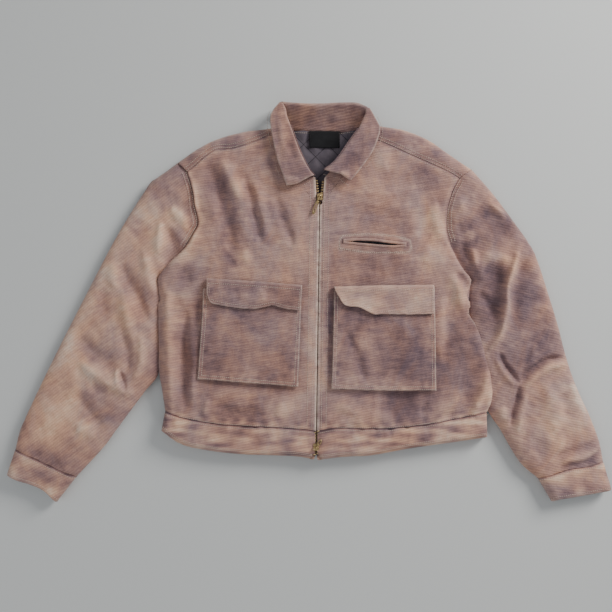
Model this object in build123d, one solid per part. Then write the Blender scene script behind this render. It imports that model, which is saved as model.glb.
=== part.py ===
"""Zip-front work jacket with a quilted lining, lying flat and closed on its back.

Units are millimetres. +Z is up, +Y runs to the collar and +X to the wearer's left sleeve.
The origin is on the surface the jacket lies on, under the middle of its outline.
Cloth pieces are plates of their real outline, with the lining gap kept open inside.
"""
from build123d import *
import math
import os

os.makedirs("parts", exist_ok=True)

# ---- driving dimensions -------------------------------------------------------------
SHIFT_X = 12.0        # moves the zip line so the outline is centred on X = 0
SHIFT_Y = 0.5         # the same along Y
CANVAS = 2.0          # outer cloth, seams and all
QUILT = 3.0           # lining and batting
FRONT_TOP = 25.0      # upper face of the fronts
SLEEVE_TOP = 23.0     # upper face of the flattened sleeves
BACK_TOP = 5.0        # inner face of the back lining
FRONT_LOW = 20.0      # inner face of the front lining
WALL = 3.0            # turned edge at side, shoulder and sleeve seams
FOLD_GAP = 0.4        # clear line between pieces that fold against each other
POCKET_TOP = 33.0     # upper face of a pocket front
FLAP_LOW = 35.2       # underside of a pocket flap
FLAP_PIVOT_Z = 29.4   # height of the flap's fold line
COLLAR_LOW = 36.0     # underside of a turned-down collar leaf
COLLAR_THICK = 3.0
TOOTH_PITCH = 5.0     # spacing of the zip teeth on one tape
TOOTH_WIDE = 2.0
ZIP_LOW_END = -281.0
ZIP_HIGH_END = 234.0
SLIDER_Y = 198.0      # closed end of the zip, where the top slider stops
LOW_SLIDER_Y = -267.0
PULL_PIN_R = 0.8
PULL_BORE_R = 0.86    # 0.06 running clearance on the pin

# ---- outlines, zip line at X = 0 ----------------------------------------------------
SHOULDER_L = [(-109, 328), (-146, 322), (-194, 310), (-233, 290), (-271, 262), (-303.6, 234)]
SHOULDER_R = [(121, 337), (158, 332), (204, 314), (245, 287), (288, 259), (329.6, 211)]
SEAM_L = [(-112, 309), (-122, 302), (-165, 288), (-196, 285), (-217, 272), (-236, 254), (-250, 242)]
SEAM_R = [(137, 297), (176, 278), (209, 264), (242, 249), (262, 237)]
ARM_L = [(-250, 242), (-236, 203), (-234, 179), (-227, 146), (-235, 126), (-251, 99), (-279, 72)]
ARM_R = [(262, 237), (250, 214), (243, 192), (239, 172), (239, 142), (246, 116), (257, 93)]
SIDE_L = [(-300, 44), (-299, 10), (-299, -47), (-297, -92), (-297, -122)]
SIDE_R = [(286, 46), (282, 19), (284, -14), (297, -37), (308, -61), (316, -92), (324, -130), (325, -184)]
LOW_SIDE_L = [(-297, -123), (-290, -155), (-286, -193), (-282, -207)]
LOW_SIDE_R = [(325, -185), (321, -195), (317, -202)]
WAIST_L = [(-282, -207), (-254, -217), (-206, -226), (-154, -231), (-82, -233), (-5, -239)]
WAIST_R = [(5, -239), (38, -233), (134, -232), (186, -226), (235, -218), (292, -206), (317, -202)]
HEM_L = [(-286, -243), (-254, -264), (-213, -276), (-138, -284), (-42, -287), (-5, -291)]
HEM_R = [(5, -291), (50, -286), (104, -282), (178, -268), (243, -258), (317, -245)]
NECK_L = [(-62, 340), (-49, 310), (-32, 266), (-11, 235)]
NECK_R = [(76, 337), (60, 310), (39, 278), (12, 247)]


def place(points):
    return [(x + SHIFT_X, y + SHIFT_Y) for x, y in points]


def plate(points, low, high):
    """A flat piece of cloth with this outline."""
    pts = place(points)
    with BuildPart() as p:
        with BuildSketch(Plane.XY.offset(low)):
            with BuildLine():
                Polyline(*pts, close=True)
            make_face()
        extrude(amount=high - low)
    return p.part


def beside(path, width):
    """The path moved to its left by width."""
    moved = []
    for i, (x, y) in enumerate(path):
        ax, ay = path[max(i - 1, 0)]
        bx, by = path[min(i + 1, len(path) - 1)]
        run = math.hypot(bx - ax, by - ay)
        moved.append((x - (by - ay) / run * width, y + (bx - ax) / run * width))
    return moved


def wall(path, width, low, high):
    """An upright strip that follows a path and stands to its left."""
    return plate(path + beside(path, width)[::-1], low, high)


def save(node, *solids):
    """Write one sub-part, which may be several pieces of the same thing."""
    found = []
    for s in solids:
        found.extend(s.solids())
    body = found[0] if len(found) == 1 else Compound(children=found)
    body.label = node
    export_step(body, f"parts/{node}.step")


def mirrored(path):
    return path[::-1]


# ---- back, sides and shoulders ------------------------------------------------------
BACK = (
    [(-60, 331)] + SHOULDER_L + [(-303.6, -4)] + SIDE_L[2:] + LOW_SIDE_L
    + WAIST_L[1:5] + [(-5, -237), (5, -237)] + WAIST_R[1:] + mirrored(LOW_SIDE_R)[1:]
    + [(329.6, -184)] + mirrored(SHOULDER_R) + [(72, 331)]
)
save("back_panel", plate(BACK, 0, CANVAS))
INSIDE = (
    [(-58, 328), (-112, 322), (-192, 304), (-228, 284), (-256, 264), (-240, 200), (-240, 140)]
    + [(-290, 50), (-293, -120), (-284, -190), (-278, -204), (-206, -222), (-82, -229)]
    + [(0, -232), (134, -228), (235, -214), (312, -199), (320, -180), (304, -70), (280, -20)]
    + [(276, 50), (246, 130), (246, 190), (268, 240), (243, 280), (200, 308), (118, 330), (68, 328)]
)
save("back_batting", plate(INSIDE, CANVAS, BACK_TOP - 1.0))
save("back_lining", plate(INSIDE, BACK_TOP - 1.0, BACK_TOP))
save("waistband_back", plate(WAIST_L + WAIST_R + mirrored(HEM_R) + mirrored(HEM_L), 0, BACK_TOP))

SIDE_LOW_L = [(-296.5, -123.5), (-290, -155), (-286, -193), (-283, -207), (-286, -240)]
SIDE_LOW_R = [(316, -242), (316, -203), (320, -196), (324, -186)]
save(
    "side_seam_left",
    wall(SIDE_L, WALL, BACK_TOP, FRONT_LOW),
    wall(SIDE_LOW_L, WALL, BACK_TOP, FRONT_LOW - FOLD_GAP),
)
save(
    "side_seam_right",
    wall(mirrored(SIDE_R), WALL, BACK_TOP, FRONT_LOW),
    wall(SIDE_LOW_R, WALL, BACK_TOP, FRONT_LOW - FOLD_GAP),
)

for side, outer, seam in (("left", SHOULDER_L, SEAM_L), ("right", SHOULDER_R, SEAM_R)):
    strip = plate(outer[:5] + mirrored(seam), FRONT_LOW, FRONT_TOP)
    path = outer if side == "left" else mirrored(outer)
    edge = wall(path, WALL, CANVAS, FRONT_LOW)
    save(f"yoke_{side}", strip, edge)

# ---- outer part of each front, which stays with the back ------------------------------
STILL_L = SEAM_L + ARM_L[1:] + SIDE_L[:-1] + [(-297, -121), (-225.4, 45)]
STILL_R = SEAM_R + ARM_R[1:] + [(271, 69)] + SIDE_R[:-1] + [(325, -184), (236.4, 40)]
for side, outline in (("left", STILL_L), ("right", STILL_R)):
    save(f"front_side_{side}", plate(outline, FRONT_TOP - CANVAS, FRONT_TOP))
    save(f"front_side_lining_{side}", plate(outline, FRONT_LOW, FRONT_TOP - CANVAS))

# ---- sleeve heads, sewn into the armholes ---------------------------------------------
HEAD_L = [(-250, 242), (-271, 262), (-303.6, 234), (-303.6, 20), (-300, 44)] + mirrored(ARM_L)[:-1]
HEAD_R = (
    [(262, 237), (288, 259), (329.6, 211), (329.6, -184), (325, -184), (324, -130), (316, -92)]
    + [(308, -61), (297, -37), (284, -14), (282, 19), (286, 46), (271, 69)] + mirrored(ARM_R)[:-1]
)
for side, outline in (("left", HEAD_L), ("right", HEAD_R)):
    save(f"sleeve_head_{side}", plate(outline, FRONT_LOW, SLEEVE_TOP))

# ---- collar at the back neck, with the seam it stands on --------------------------------
BACK_COLLAR = [(-64, 337), (-94, 338), (-92, 358), (-74, 376), (-48, 370), (22, 373), (84, 369)]
BACK_COLLAR = BACK_COLLAR + [(96, 364), (108, 342), (78, 339), (72, 334), (-56, 334)]
save(
    "collar_back",
    plate(BACK_COLLAR, 14, 17),
    plate([(-60, 331), (-64, 334), (80, 334), (76, 331)], CANVAS, 14),
    plate([(-90, 360), (-74, 376), (84, 369), (96, 362), (90, 358), (-84, 354)], 9, 14),
)
LABEL = [(-22, 297), (37, 297), (36, 329), (-22, 329)]
save("neck_label", plate(LABEL, BACK_TOP, BACK_TOP + 0.8))

# ---- the two opening fronts ------------------------------------------------------------
DOOR_L = (
    [(-99.5, 335), (-224.5, 45), (-296.5, -122)] + LOW_SIDE_L[1:] + WAIST_L[1:]
    + [(-5, 228)] + mirrored(NECK_L[1:]) + [(-60, 335)]
)
DOOR_R = (
    [(119.5, 335), (235.5, 40), (324, -185)] + LOW_SIDE_R[1:] + mirrored(WAIST_R)[1:]
    + [(5, 228)] + mirrored(NECK_R[1:]) + [(74, 335)]
)
PANEL_LOW = FRONT_TOP - CANVAS
FLAP_L = [(-207, 41), (-30, 31)]
FLAP_R = [(29, 29), (214, 35)]
SLIT = [(45, 104.5), (161, 104.5), (161, 112.5), (45, 112.5)]


def flap_root(line):
    """The sewn edge the flap folds up from, standing on the front."""
    return wall(mirrored(line), 1.5, FRONT_TOP, FLAP_PIVOT_Z - 0.1)


def moved_down(line, by):
    return [(x, y - by) for x, y in line]


slit_cut = plate(SLIT, 10, 30)
panel_l = plate(DOOR_L, PANEL_LOW, FRONT_TOP) + flap_root(moved_down(FLAP_L, 1.2))
panel_r = plate(DOOR_R, PANEL_LOW, FRONT_TOP) + flap_root(moved_down(FLAP_R, 1.2)) - slit_cut
save("front_panel_left", panel_l)
save("front_panel_right", panel_r)

LINING_L = (
    [(-99.5, 335), (-224.5, 45), (-296.5, -122)] + LOW_SIDE_L[1:] + WAIST_L[1:5]
    + [(-36, -236), (-36, 262)] + [(-49, 310), (-60, 335)]
)
LINING_R = (
    [(119.5, 335), (235.5, 40), (324, -185)] + LOW_SIDE_R[1:] + mirrored(WAIST_R)[1:6]
    + [(36, -233), (36, 274)] + [(60, 310), (74, 335)]
)
save("front_lining_left", plate(LINING_L, FRONT_LOW, PANEL_LOW))
save("front_lining_right", plate(LINING_R, FRONT_LOW, PANEL_LOW) - slit_cut)

FACING_L = [(-36, -236), (-5, -239), (-5, 228), (-11, 235), (-32, 266), (-36, 262)]
FACING_R = [(36, -233), (5, -239), (5, 228), (12, 247), (36, 274)]
save("front_facing_left", plate(FACING_L, FRONT_LOW, PANEL_LOW - 1.0))
save("front_facing_right", plate(FACING_R, FRONT_LOW, PANEL_LOW - 1.0))

BAND_L = WAIST_L + mirrored(HEM_L)
BAND_R = WAIST_R + mirrored(HEM_R)
save("waistband_left", plate(BAND_L, FRONT_LOW, FRONT_TOP))
save("waistband_right", plate(BAND_R, FRONT_LOW, FRONT_TOP))

# ---- zip -----------------------------------------------------------------------------
TAPE_L = [(-16, -231), (-3.2, -231), (-3.2, 232), (-16, 232)]
TAPE_R = [(16, -231), (3.2, -231), (3.2, 232), (16, 232)]
TAIL_L = [(-4.8, ZIP_LOW_END), (-3.2, ZIP_LOW_END), (-3.2, -231), (-4.8, -231)]
TAIL_R = [(4.8, ZIP_LOW_END), (3.2, ZIP_LOW_END), (3.2, -231), (4.8, -231)]
save("zip_tape_left", plate(TAPE_L, PANEL_LOW - 1, PANEL_LOW), plate(TAIL_L, PANEL_LOW - 1, PANEL_LOW))
save("zip_tape_right", plate(TAPE_R, PANEL_LOW - 1, PANEL_LOW), plate(TAIL_R, PANEL_LOW - 1, PANEL_LOW))


def teeth(side):
    """One row of teeth: they lock past the middle below the slider and stop short above it."""
    row = []
    y = ZIP_LOW_END + (0.0 if side < 0 else TOOTH_PITCH / 2)
    while y < ZIP_HIGH_END - 4:
        tip = -0.6 if y > SLIDER_Y or y < LOW_SLIDER_Y else 0.8
        inner = -side * tip
        x0, x1 = sorted((side * 3.2, inner))
        row.append(Pos((x0 + x1) / 2 + SHIFT_X, y + SHIFT_Y, 22.5) * Box(x1 - x0, TOOTH_WIDE, 3.4))
        y += TOOTH_PITCH
    return row


save("zip_teeth_left", *teeth(-1))
save("zip_teeth_right", *teeth(1))


def slider(y, up):
    """Two plates joined by the wedge that parts the teeth, and a lug with the pull's pin."""
    top = Pos(0, 0, 26.1) * Box(11, 13, 1.8)
    low = Pos(0, 0, 18.9) * Box(11, 13, 1.8)
    wedge = Pos(0, up * 4.5, 22.5) * Box(1.0, 3.0, 5.4)
    ears = Pos(-3.4, up * 1.0, 28.9) * Box(1.2, 4.0, 3.8)
    ears = ears + Pos(3.4, up * 1.0, 28.9) * Box(1.2, 4.0, 3.8)
    pin = Pos(0, up * 1.0, 29.2) * Rot(0, 90, 0) * Cylinder(PULL_PIN_R, 8.0)
    return Pos(SHIFT_X, y + SHIFT_Y, 0) * (top + low + wedge + ears + pin)


def pull(y, up, lean, long):
    """A flat pull with an eye round the pin and a hole at its free end."""
    with BuildPart() as p:
        with BuildSketch(Plane.XY):
            with BuildLine():
                Polyline((-2.2, 1.6), (2.2, 1.6), (2.2, -5), (lean + 3, -long), (lean - 3, -long),
                         (-2.2, -5), close=True)
            make_face()
            with Locations((lean * 0.87, -long + 4.5)):
                Circle(1.4, mode=Mode.SUBTRACT)
        extrude(amount=1.1, both=True)
    eye = Rot(0, 90, 0) * Cylinder(1.9, 4.4)
    body = p.part + eye - Rot(0, 90, 0) * Cylinder(PULL_BORE_R, 6.0)
    turn = Rot(0, 0, 0) if up > 0 else Rot(0, 0, 180)
    return Pos(SHIFT_X, y + SHIFT_Y + up * 1.0, 29.2) * turn * body


save("zip_slider_top", slider(SLIDER_Y, 1))
save("zip_pull_top", pull(SLIDER_Y, 1, -12, 38))
save("zip_slider_bottom", slider(LOW_SLIDER_Y, -1))
save("zip_pull_bottom", pull(LOW_SLIDER_Y, -1, -9, 16))

# ---- bellows pockets and their flaps -----------------------------------------------------
POCKETS = {
    "left": [(-215, 18), (-221, -146), (-34, -158), (-30, 18)],
    "right": [(28, 18), (26, -161), (220, -161), (216, 18)],
}
for side, outline in POCKETS.items():
    save(f"pocket_front_{side}", plate(outline, POCKET_TOP - CANVAS, POCKET_TOP))
    a, b, c, d = outline
    tall = (FRONT_TOP, POCKET_TOP - CANVAS)
    left = wall([a, b], WALL, *tall)
    low = wall([(b[0] + WALL + 0.2, b[1]), (c[0] - WALL - 0.2, c[1])], WALL, *tall)
    right = wall([c, d], WALL, *tall)
    save(f"pocket_gusset_{side}", left, low, right)


def block(x0, y0, x1, y1, low, high):
    return plate([(x0, y0), (x1, y0), (x1, y1), (x0, y1)], low, high)


def square(x, y, half, low, high):
    return block(x - half, y - half, x + half, y + half, low, high)


FLAPS = {
    "left": FLAP_L + [(-33, -17), (-60, -15), (-90, -11), (-120, -15), (-156, -13), (-196, -7), (-205, 8)],
    "right": mirrored(FLAP_R) + [(31, 20), (44, 2), (65, -10), (90, -10), (118, -24), (172, -21), (214, -19)],
}
for side, line, spot in (("left", FLAP_L, -118), ("right", FLAP_R, 142)):
    root = wall(line, 1.0, FLAP_PIVOT_Z + 0.2, FLAP_LOW)
    cover = plate(FLAPS[side], FLAP_LOW, FLAP_LOW + CANVAS)
    lip = wall(line, 1.0, FLAP_LOW, FLAP_LOW + CANVAS)
    save(f"flap_{side}", root + cover + lip)
    save(f"flap_hook_{side}", square(spot, 2, 10, FLAP_LOW - 1.0, FLAP_LOW))
    save(f"pocket_loop_{side}", square(spot, 2, 10, POCKET_TOP, POCKET_TOP + 1.0))

# ---- chest pocket --------------------------------------------------------------------------
WELT = [(39, 101), (96, 95), (166, 96), (170, 106), (167, 119), (138, 124), (94, 127), (44, 123)]
save("chest_welt", plate(WELT, FRONT_TOP, FRONT_TOP + 1.2) - plate(SLIT, 20, 30))
BAG_LOW = 13.0        # underside of the chest pocket's bag
BAG_ROOF = 18.8

save(
    "chest_pocket_bag",
    block(41, 30, 168, 119, BAG_LOW, BAG_LOW + 1.0),
    block(41, 30, 43, 119, BAG_LOW + 1.0, FRONT_LOW),
    block(166, 30, 168, 119, BAG_LOW + 1.0, FRONT_LOW),
    block(43, 30, 166, 32, BAG_LOW + 1.0, FRONT_LOW),
    block(43, 117, 166, 119, BAG_LOW + 1.0, FRONT_LOW),
    block(43, 32, 166, 104.5, BAG_ROOF, FRONT_LOW),
    block(43, 112.5, 166, 117, BAG_ROOF, FRONT_LOW),
)

# ---- collar leaves and the stand each one folds from -----------------------------------------
LEAF_L = [(-62, 334), (-87, 334), (-90, 310), (-81, 268), (-71, 240), (-62, 216), (-43, 219), (-25, 229)]
LEAF_L = LEAF_L + [(-11.5, 236)]
LEAF_R = [(73, 334), (103, 334), (109, 322), (105, 300), (94, 276), (81, 257), (67, 240), (56, 225)]
LEAF_R = LEAF_R + [(35, 237), (22, 241), (11.5, 246)]
STAND_L = [(-11, 236), (-61, 334)]
STAND_R = [(72, 334), (11, 246.5)]
save("collar_leaf_left", plate(LEAF_L, COLLAR_LOW + 0.2, COLLAR_LOW + COLLAR_THICK))
save("collar_leaf_right", plate(LEAF_R, COLLAR_LOW + 0.2, COLLAR_LOW + COLLAR_THICK))
save("collar_stand_left", wall(STAND_L, 2.5, FRONT_TOP, COLLAR_LOW))
save("collar_stand_right", wall(STAND_R, 2.5, FRONT_TOP, COLLAR_LOW))

# ---- sleeves, outside the side fold ------------------------------------------------------------
OUT_L = [(-304.4, 233), (-326, 215), (-382, 120), (-440, 1), (-499, -125), (-546, -234), (-558, -280)]
IN_L = [(-443, -330), (-420, -304), (-395, -276), (-373, -245), (-322, -173), (-304.4, -148)]
CUFF_OUT_L = [(-558, -280), (-566, -305), (-572, -328)]
CUFF_END_L = [(-572, -328), (-548, -337), (-524, -344), (-504, -352), (-488, -364), (-478, -377)]
CUFF_IN_L = [(-478, -377), (-463, -359), (-443, -330)]
OUT_R = [(330.4, 209), (340, 197), (371, 155), (395, 121), (427, 45), (451, -37), (474, -120)]
OUT_R = OUT_R + [(491, -166), (508, -202), (525, -248), (532, -287)]
IN_R = [(412, -320), (381, -294), (359, -261), (342, -231), (330.4, -213)]
CUFF_OUT_R = [(532, -287), (543, -318), (548, -338)]
CUFF_END_R = [(548, -338), (505, -347), (448, -356), (441, -361)]
CUFF_IN_R = [(441, -361), (425, -345), (412, -320)]


def sleeve(side, out, inner, cuff_out, cuff_end, cuff_in):
    sheet = out + inner
    save(f"sleeve_upper_{side}", plate(sheet, FRONT_LOW, SLEEVE_TOP))
    save(f"sleeve_under_{side}", plate(sheet, 0, QUILT))
    along = list if side == "left" else mirrored
    save(
        f"sleeve_seams_{side}",
        wall(along(out), WALL, QUILT, FRONT_LOW),
        wall(along(inner), WALL, QUILT, FRONT_LOW),
    )
    band = cuff_out + cuff_end[1:-1] + cuff_in
    save(
        f"cuff_{side}",
        plate(band, FRONT_LOW, SLEEVE_TOP + 1.0),
        plate(band, 0, QUILT),
        wall(along(cuff_out), WALL, QUILT, FRONT_LOW),
        wall(along(cuff_in), WALL, QUILT, FRONT_LOW),
    )


sleeve("left", OUT_L, IN_L, CUFF_OUT_L, CUFF_END_L, CUFF_IN_L)
sleeve("right", OUT_R, IN_R, CUFF_OUT_R, CUFF_END_R, CUFF_IN_R)
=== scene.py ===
"""Work jacket lying closed on its back: the cloth, thread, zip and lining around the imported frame.

Shapes are given in millimetres from the zip line (X) and the middle of the body (Y), with Z up
from the floor. They are turned into metres in the frame's own place when a mesh is made.
"""
import math

import bpy
import numpy as np
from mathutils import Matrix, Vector
from mathutils.bvhtree import BVHTree


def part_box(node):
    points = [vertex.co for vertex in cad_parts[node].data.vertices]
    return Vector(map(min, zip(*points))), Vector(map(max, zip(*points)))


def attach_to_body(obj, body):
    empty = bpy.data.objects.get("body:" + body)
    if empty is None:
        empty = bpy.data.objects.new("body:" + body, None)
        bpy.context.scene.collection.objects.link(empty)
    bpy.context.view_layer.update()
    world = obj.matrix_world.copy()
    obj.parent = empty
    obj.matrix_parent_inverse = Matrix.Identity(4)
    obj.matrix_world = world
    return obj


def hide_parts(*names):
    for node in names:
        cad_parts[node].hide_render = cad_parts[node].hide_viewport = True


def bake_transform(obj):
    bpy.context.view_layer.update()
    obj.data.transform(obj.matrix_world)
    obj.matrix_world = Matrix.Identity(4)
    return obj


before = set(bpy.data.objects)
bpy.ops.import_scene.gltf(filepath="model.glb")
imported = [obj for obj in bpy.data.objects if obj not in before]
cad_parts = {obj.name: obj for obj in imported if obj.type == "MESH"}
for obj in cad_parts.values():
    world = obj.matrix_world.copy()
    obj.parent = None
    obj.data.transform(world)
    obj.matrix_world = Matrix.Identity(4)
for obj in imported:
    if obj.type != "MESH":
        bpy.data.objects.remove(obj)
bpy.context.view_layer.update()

MM = 0.001
STEP = 3.0            # spacing of the cloth grid
DEPTH = 1.6           # how strongly the listed folds stand up
QUILT_PITCH = 33.0    # spacing of the diamond quilting's lines
QUILT_SHIFT = 6.0     # how far those lines lie off the zip line
QUILT_THREAD = 0.5    # half the width the thread between them is drawn
FACING = 33.0         # width of the canvas facing behind each front edge
ZIP_ZONE = 6.5        # half the width the sliders take on each side of the zip line
PAST_ZIP = 0.35       # how fast the cloth may rise beyond it
SLIDER_CLEAR = 24.95  # highest the cloth stands where the zip sliders pass over it
LABEL_LOW_Y = 297.0   # lower edge of the neck label from the middle of the body
TOWARD = {"left": -1, "right": 1}    # which way each side lies from the zip line
ZIP_X = (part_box("zip_teeth_left")[1].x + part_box("zip_teeth_right")[0].x) / 2
MID_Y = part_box("neck_label")[0].y - LABEL_LOW_Y * MM

# ---- outlines, from the shoulder downward ------------------------------------------------
SHOULDER = {
    "left": [(-98, 331), (-146, 324), (-194, 310), (-233, 290), (-271, 262)],
    "right": [(114, 339), (158, 332), (204, 314), (245, 287), (288, 258)],
}
SEAM = {
    "left": [(-96, 315), (-122, 303), (-165, 288), (-196, 285), (-217, 272), (-236, 254), (-250, 242)],
    "right": [(108, 307), (136, 296), (176, 278), (209, 264), (242, 249), (262, 237)],
}
ARM = {
    "left": [(-250, 242), (-238, 205), (-234, 179), (-227, 146), (-235, 126), (-251, 99), (-279, 72),
             (-300, 44)],
    "right": [(262, 237), (250, 214), (243, 192), (239, 172), (239, 142), (246, 116), (257, 93), (271, 69),
             (287, 46)],
}
SIDE = {
    "left": [(-300, 44), (-299, 15), (-294, 3), (-300, -12), (-298, -60), (-296, -125), (-288, -170),
             (-282, -207)],
    "right": [(287, 46), (280, 18), (286, 0), (283, -16), (297, -37), (308, -61), (317, -95), (325, -130),
             (327, -175), (317, -201)],
}
WAIST = {
    "left": [(-282, -207), (-254, -217), (-206, -226), (-154, -231), (-82, -233), (-32, -236),
             (-1.6, -239)],
    "right": [(1.6, -239), (38, -233), (87, -233), (134, -232), (186, -226), (235, -218), (292, -205),
             (317, -201)],
}
HEM = {
    "left": [(-288, -243), (-254, -265), (-213, -276), (-138, -284), (-42, -286), (-7, -290),
             (-1.6, -284)],
    "right": [(1.6, -284), (7, -291), (50, -286), (104, -282), (178, -268), (243, -258), (318, -246)],
}
FOLD = {
    "left": [(-72, 375), (-66, 362), (-63, 347), (-55, 326), (-39, 283), (-21, 248), (-11, 236)],
    "right": [(84, 366), (83, 355), (76, 337), (67, 320), (52, 298), (39, 278), (26, 261), (8, 246)],
}
LEAF = {
    "left": [(-78, 376), (-90, 360), (-95, 342), (-91, 310), (-81, 268), (-71, 240), (-62, 216)],
    "right": [(92, 367), (101, 350), (111, 327), (105, 300), (94, 276), (81, 257), (67, 238), (56, 225)],
}
LEAF_END = {
    "left": [(-11, 236), (-25, 229), (-43, 219), (-62, 216)],
    "right": [(8, 246), (25, 241), (38, 238), (47, 231), (56, 225)],
}
OUT = {
    "left": [(-271, 262), (-304, 235), (-326, 215), (-382, 120), (-440, 1), (-499, -125), (-546, -234),
             (-558, -280)],
    "right": [(288, 258), (319, 223), (340, 197), (371, 155), (395, 121), (412, 88), (436, 13), (451, -37),
             (463, -85), (475, -125), (491, -166), (508, -202), (525, -248), (533, -287)],
}
IN = {
    "left": [(-300, 44), (-297, -20), (-296, -100), (-297, -140), (-322, -173), (-373, -245),
             (-395, -276), (-443, -330)],
    "right": [(287, 46), (284, 0), (290, -60), (305, -130), (316, -190), (342, -231), (359, -261),
             (381, -294), (412, -320)],
}
CUFF_TOP = {
    "left": [(-558, -280), (-522, -296), (-485, -312), (-443, -330)],
    "right": [(533, -287), (501, -296), (468, -302), (441, -311), (412, -320)],
}
CUFF_END = {
    "left": [(-572, -328), (-548, -337), (-524, -344), (-504, -352), (-488, -364), (-478, -377)],
    "right": [(548, -338), (525, -342), (490, -349), (462, -354), (446, -357), (437, -362)],
}

# ---- folds, fading and painted shading: (path, width, height, fade and shading); above 0 the cloth is drawn lighter, below 0 darker; on a raised fold this is a painted highlight, in a crease painted shade, and with no height the dye's own fading ---
FOLDS_FRONT = [
    ([(-186, 268), (-166, 225), (-148, 192)], 13, 3.5, 0.5),
    ([(-218, 266), (-188, 200), (-171, 138), (-160, 78)], 15, -4.2, -0.8),
    ([(-205, 200), (-195, 150)], 14, 2.0, 0.0),
    ([(-142, 240), (-125, 182), (-108, 104)], 9, -3.4, -0.62),
    ([(-126, 232), (-106, 160), (-98, 118)], 11, 2.2, 0.4),
    ([(-160, 235), (-146, 180), (-136, 120)], 12, 1.6, 0.35),
    ([(-86, 206), (-66, 154), (-50, 100)], 9, -2.4, -0.45),
    ([(-179, 98), (-166, 78), (-156, 60)], 5, -1.2, -1.3),
    ([(-143, 100), (-128, 70)], 9, 1.2, 0.45),
    ([(-247, -20), (-250, -90), (-247, -150), (-243, -203)], 11, -6.0, -0.7),
    ([(-281, 25), (-275, -60), (-272, -130), (-266, -205)], 12, 4.5, 0.55),
    ([(-226, -40), (-229, -120), (-228, -195)], 9, 2.5, 0.15),
    ([(-262, 60), (-246, 40), (-240, 22)], 14, -2.5, -0.6),
    ([(-286, 60), (-262, 84), (-240, 112), (-232, 140)], 12, 3.0, 0.75),
    ([(-190, -190), (-150, -208), (-96, -205)], 12, -2.2, -0.9),
    ([(-210, -214), (-198, -180)], 6, 2.0, 0.4),
    ([(-70, -216), (-66, -185)], 7, 1.5, 0.4),
    ([(-60, 120), (-90, 75), (-130, 70)], 30, 0.0, 0.3),
    ([(-40, 190), (-45, 60)], 22, 0.8, 0.22),
    ([(-160, 240), (-90, 250)], 24, 0.0, 0.3),
    ([(-240, 230), (-232, 165)], 6, 1.2, 0.5),
    ([(-120, -60), (-60, -80)], 40, 0.0, 0.1),
    ([(115, 300), (118, 245)], 18, 1.5, 0.7),
    ([(216, 188), (222, 150), (231, 115)], 11, 1.8, 0.95),
    ([(190, 180), (196, 120)], 16, -1.4, 0.25),
    ([(150, 250), (200, 205)], 26, -1.0, -0.5),
    ([(60, 230), (110, 200), (150, 205)], 24, 0.8, 0.35),
    ([(60, 180), (120, 160), (180, 150)], 22, -0.8, -0.35),
    ([(70, 76), (160, 72)], 20, -0.6, -0.4),
    ([(190, 95), (240, 80)], 22, 1.4, 0.5),
    ([(40, 60), (110, 48)], 14, 0.8, 0.2),
    ([(245, 55), (262, 25), (268, -10)], 13, 2.6, 0.5),
    ([(262, 60), (281, 30)], 8, -3.0, -0.9),
    ([(250, 30), (242, -40), (238, -90)], 15, -2.2, -0.35),
    ([(232, 20), (229, -120)], 8, 1.2, 0.45),
    ([(318, -120), (306, -165), (285, -205)], 9, 3.5, 0.85),
    ([(324, -150), (318, -190)], 6, 2.0, 0.7),
    ([(300, -150), (262, -200), (232, -212)], 10, -2.6, -0.4),
    ([(276, -150), (240, -190), (200, -210)], 9, 2.2, 0.3),
    ([(190, -205), (205, -180)], 5, -1.8, -0.5),
    ([(115, -180), (190, -195)], 20, -1.4, -1.0),
    ([(30, -190), (80, -205), (150, -215)], 12, 1.6, 0.6),
    ([(30, -230), (60, -220), (110, -225)], 7, 1.2, 0.4),
    ([(250, -60), (285, -110)], 30, 0.0, -0.45),
    ([(-14, 190), (-12, 20), (-13, -220)], 6, 0.6, 0.32),
    ([(12, 190), (13, 40), (12, -220)], 5, 0.6, 0.28),
    ([(22, 130), (24, -60), (22, -150)], 6, 0.0, -0.35),
    ([(258, 10), (270, -90), (284, -190)], 38, 0.0, -0.95),
    ([(40, -196), (130, -200), (230, -196)], 22, 0.0, -0.5),
    ([(180, 250), (200, 140)], 42, 0.0, 0.28),
    # painted shadow: dark strips along the left side and bottom of each pocket
    ([(-224, 32), (-226, -50), (-229, -150)], 4, -0.8, -0.9),
    ([(-222, -150), (-130, -156), (-34, -163)], 4, -0.5, -0.9),
    ([(20, 24), (20, -160)], 4, -0.5, -0.7),
    ([(26, -168), (120, -169), (222, -168)], 5, -0.6, -0.8),
    ([(-150, 190), (-90, 60)], 60, 0.0, -0.12),
    ([(-100, -190), (-40, -200)], 14, 0.8, 0.5),
    ([(-250, -60), (-262, 20)], 16, 0.0, 0.2),
]
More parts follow.
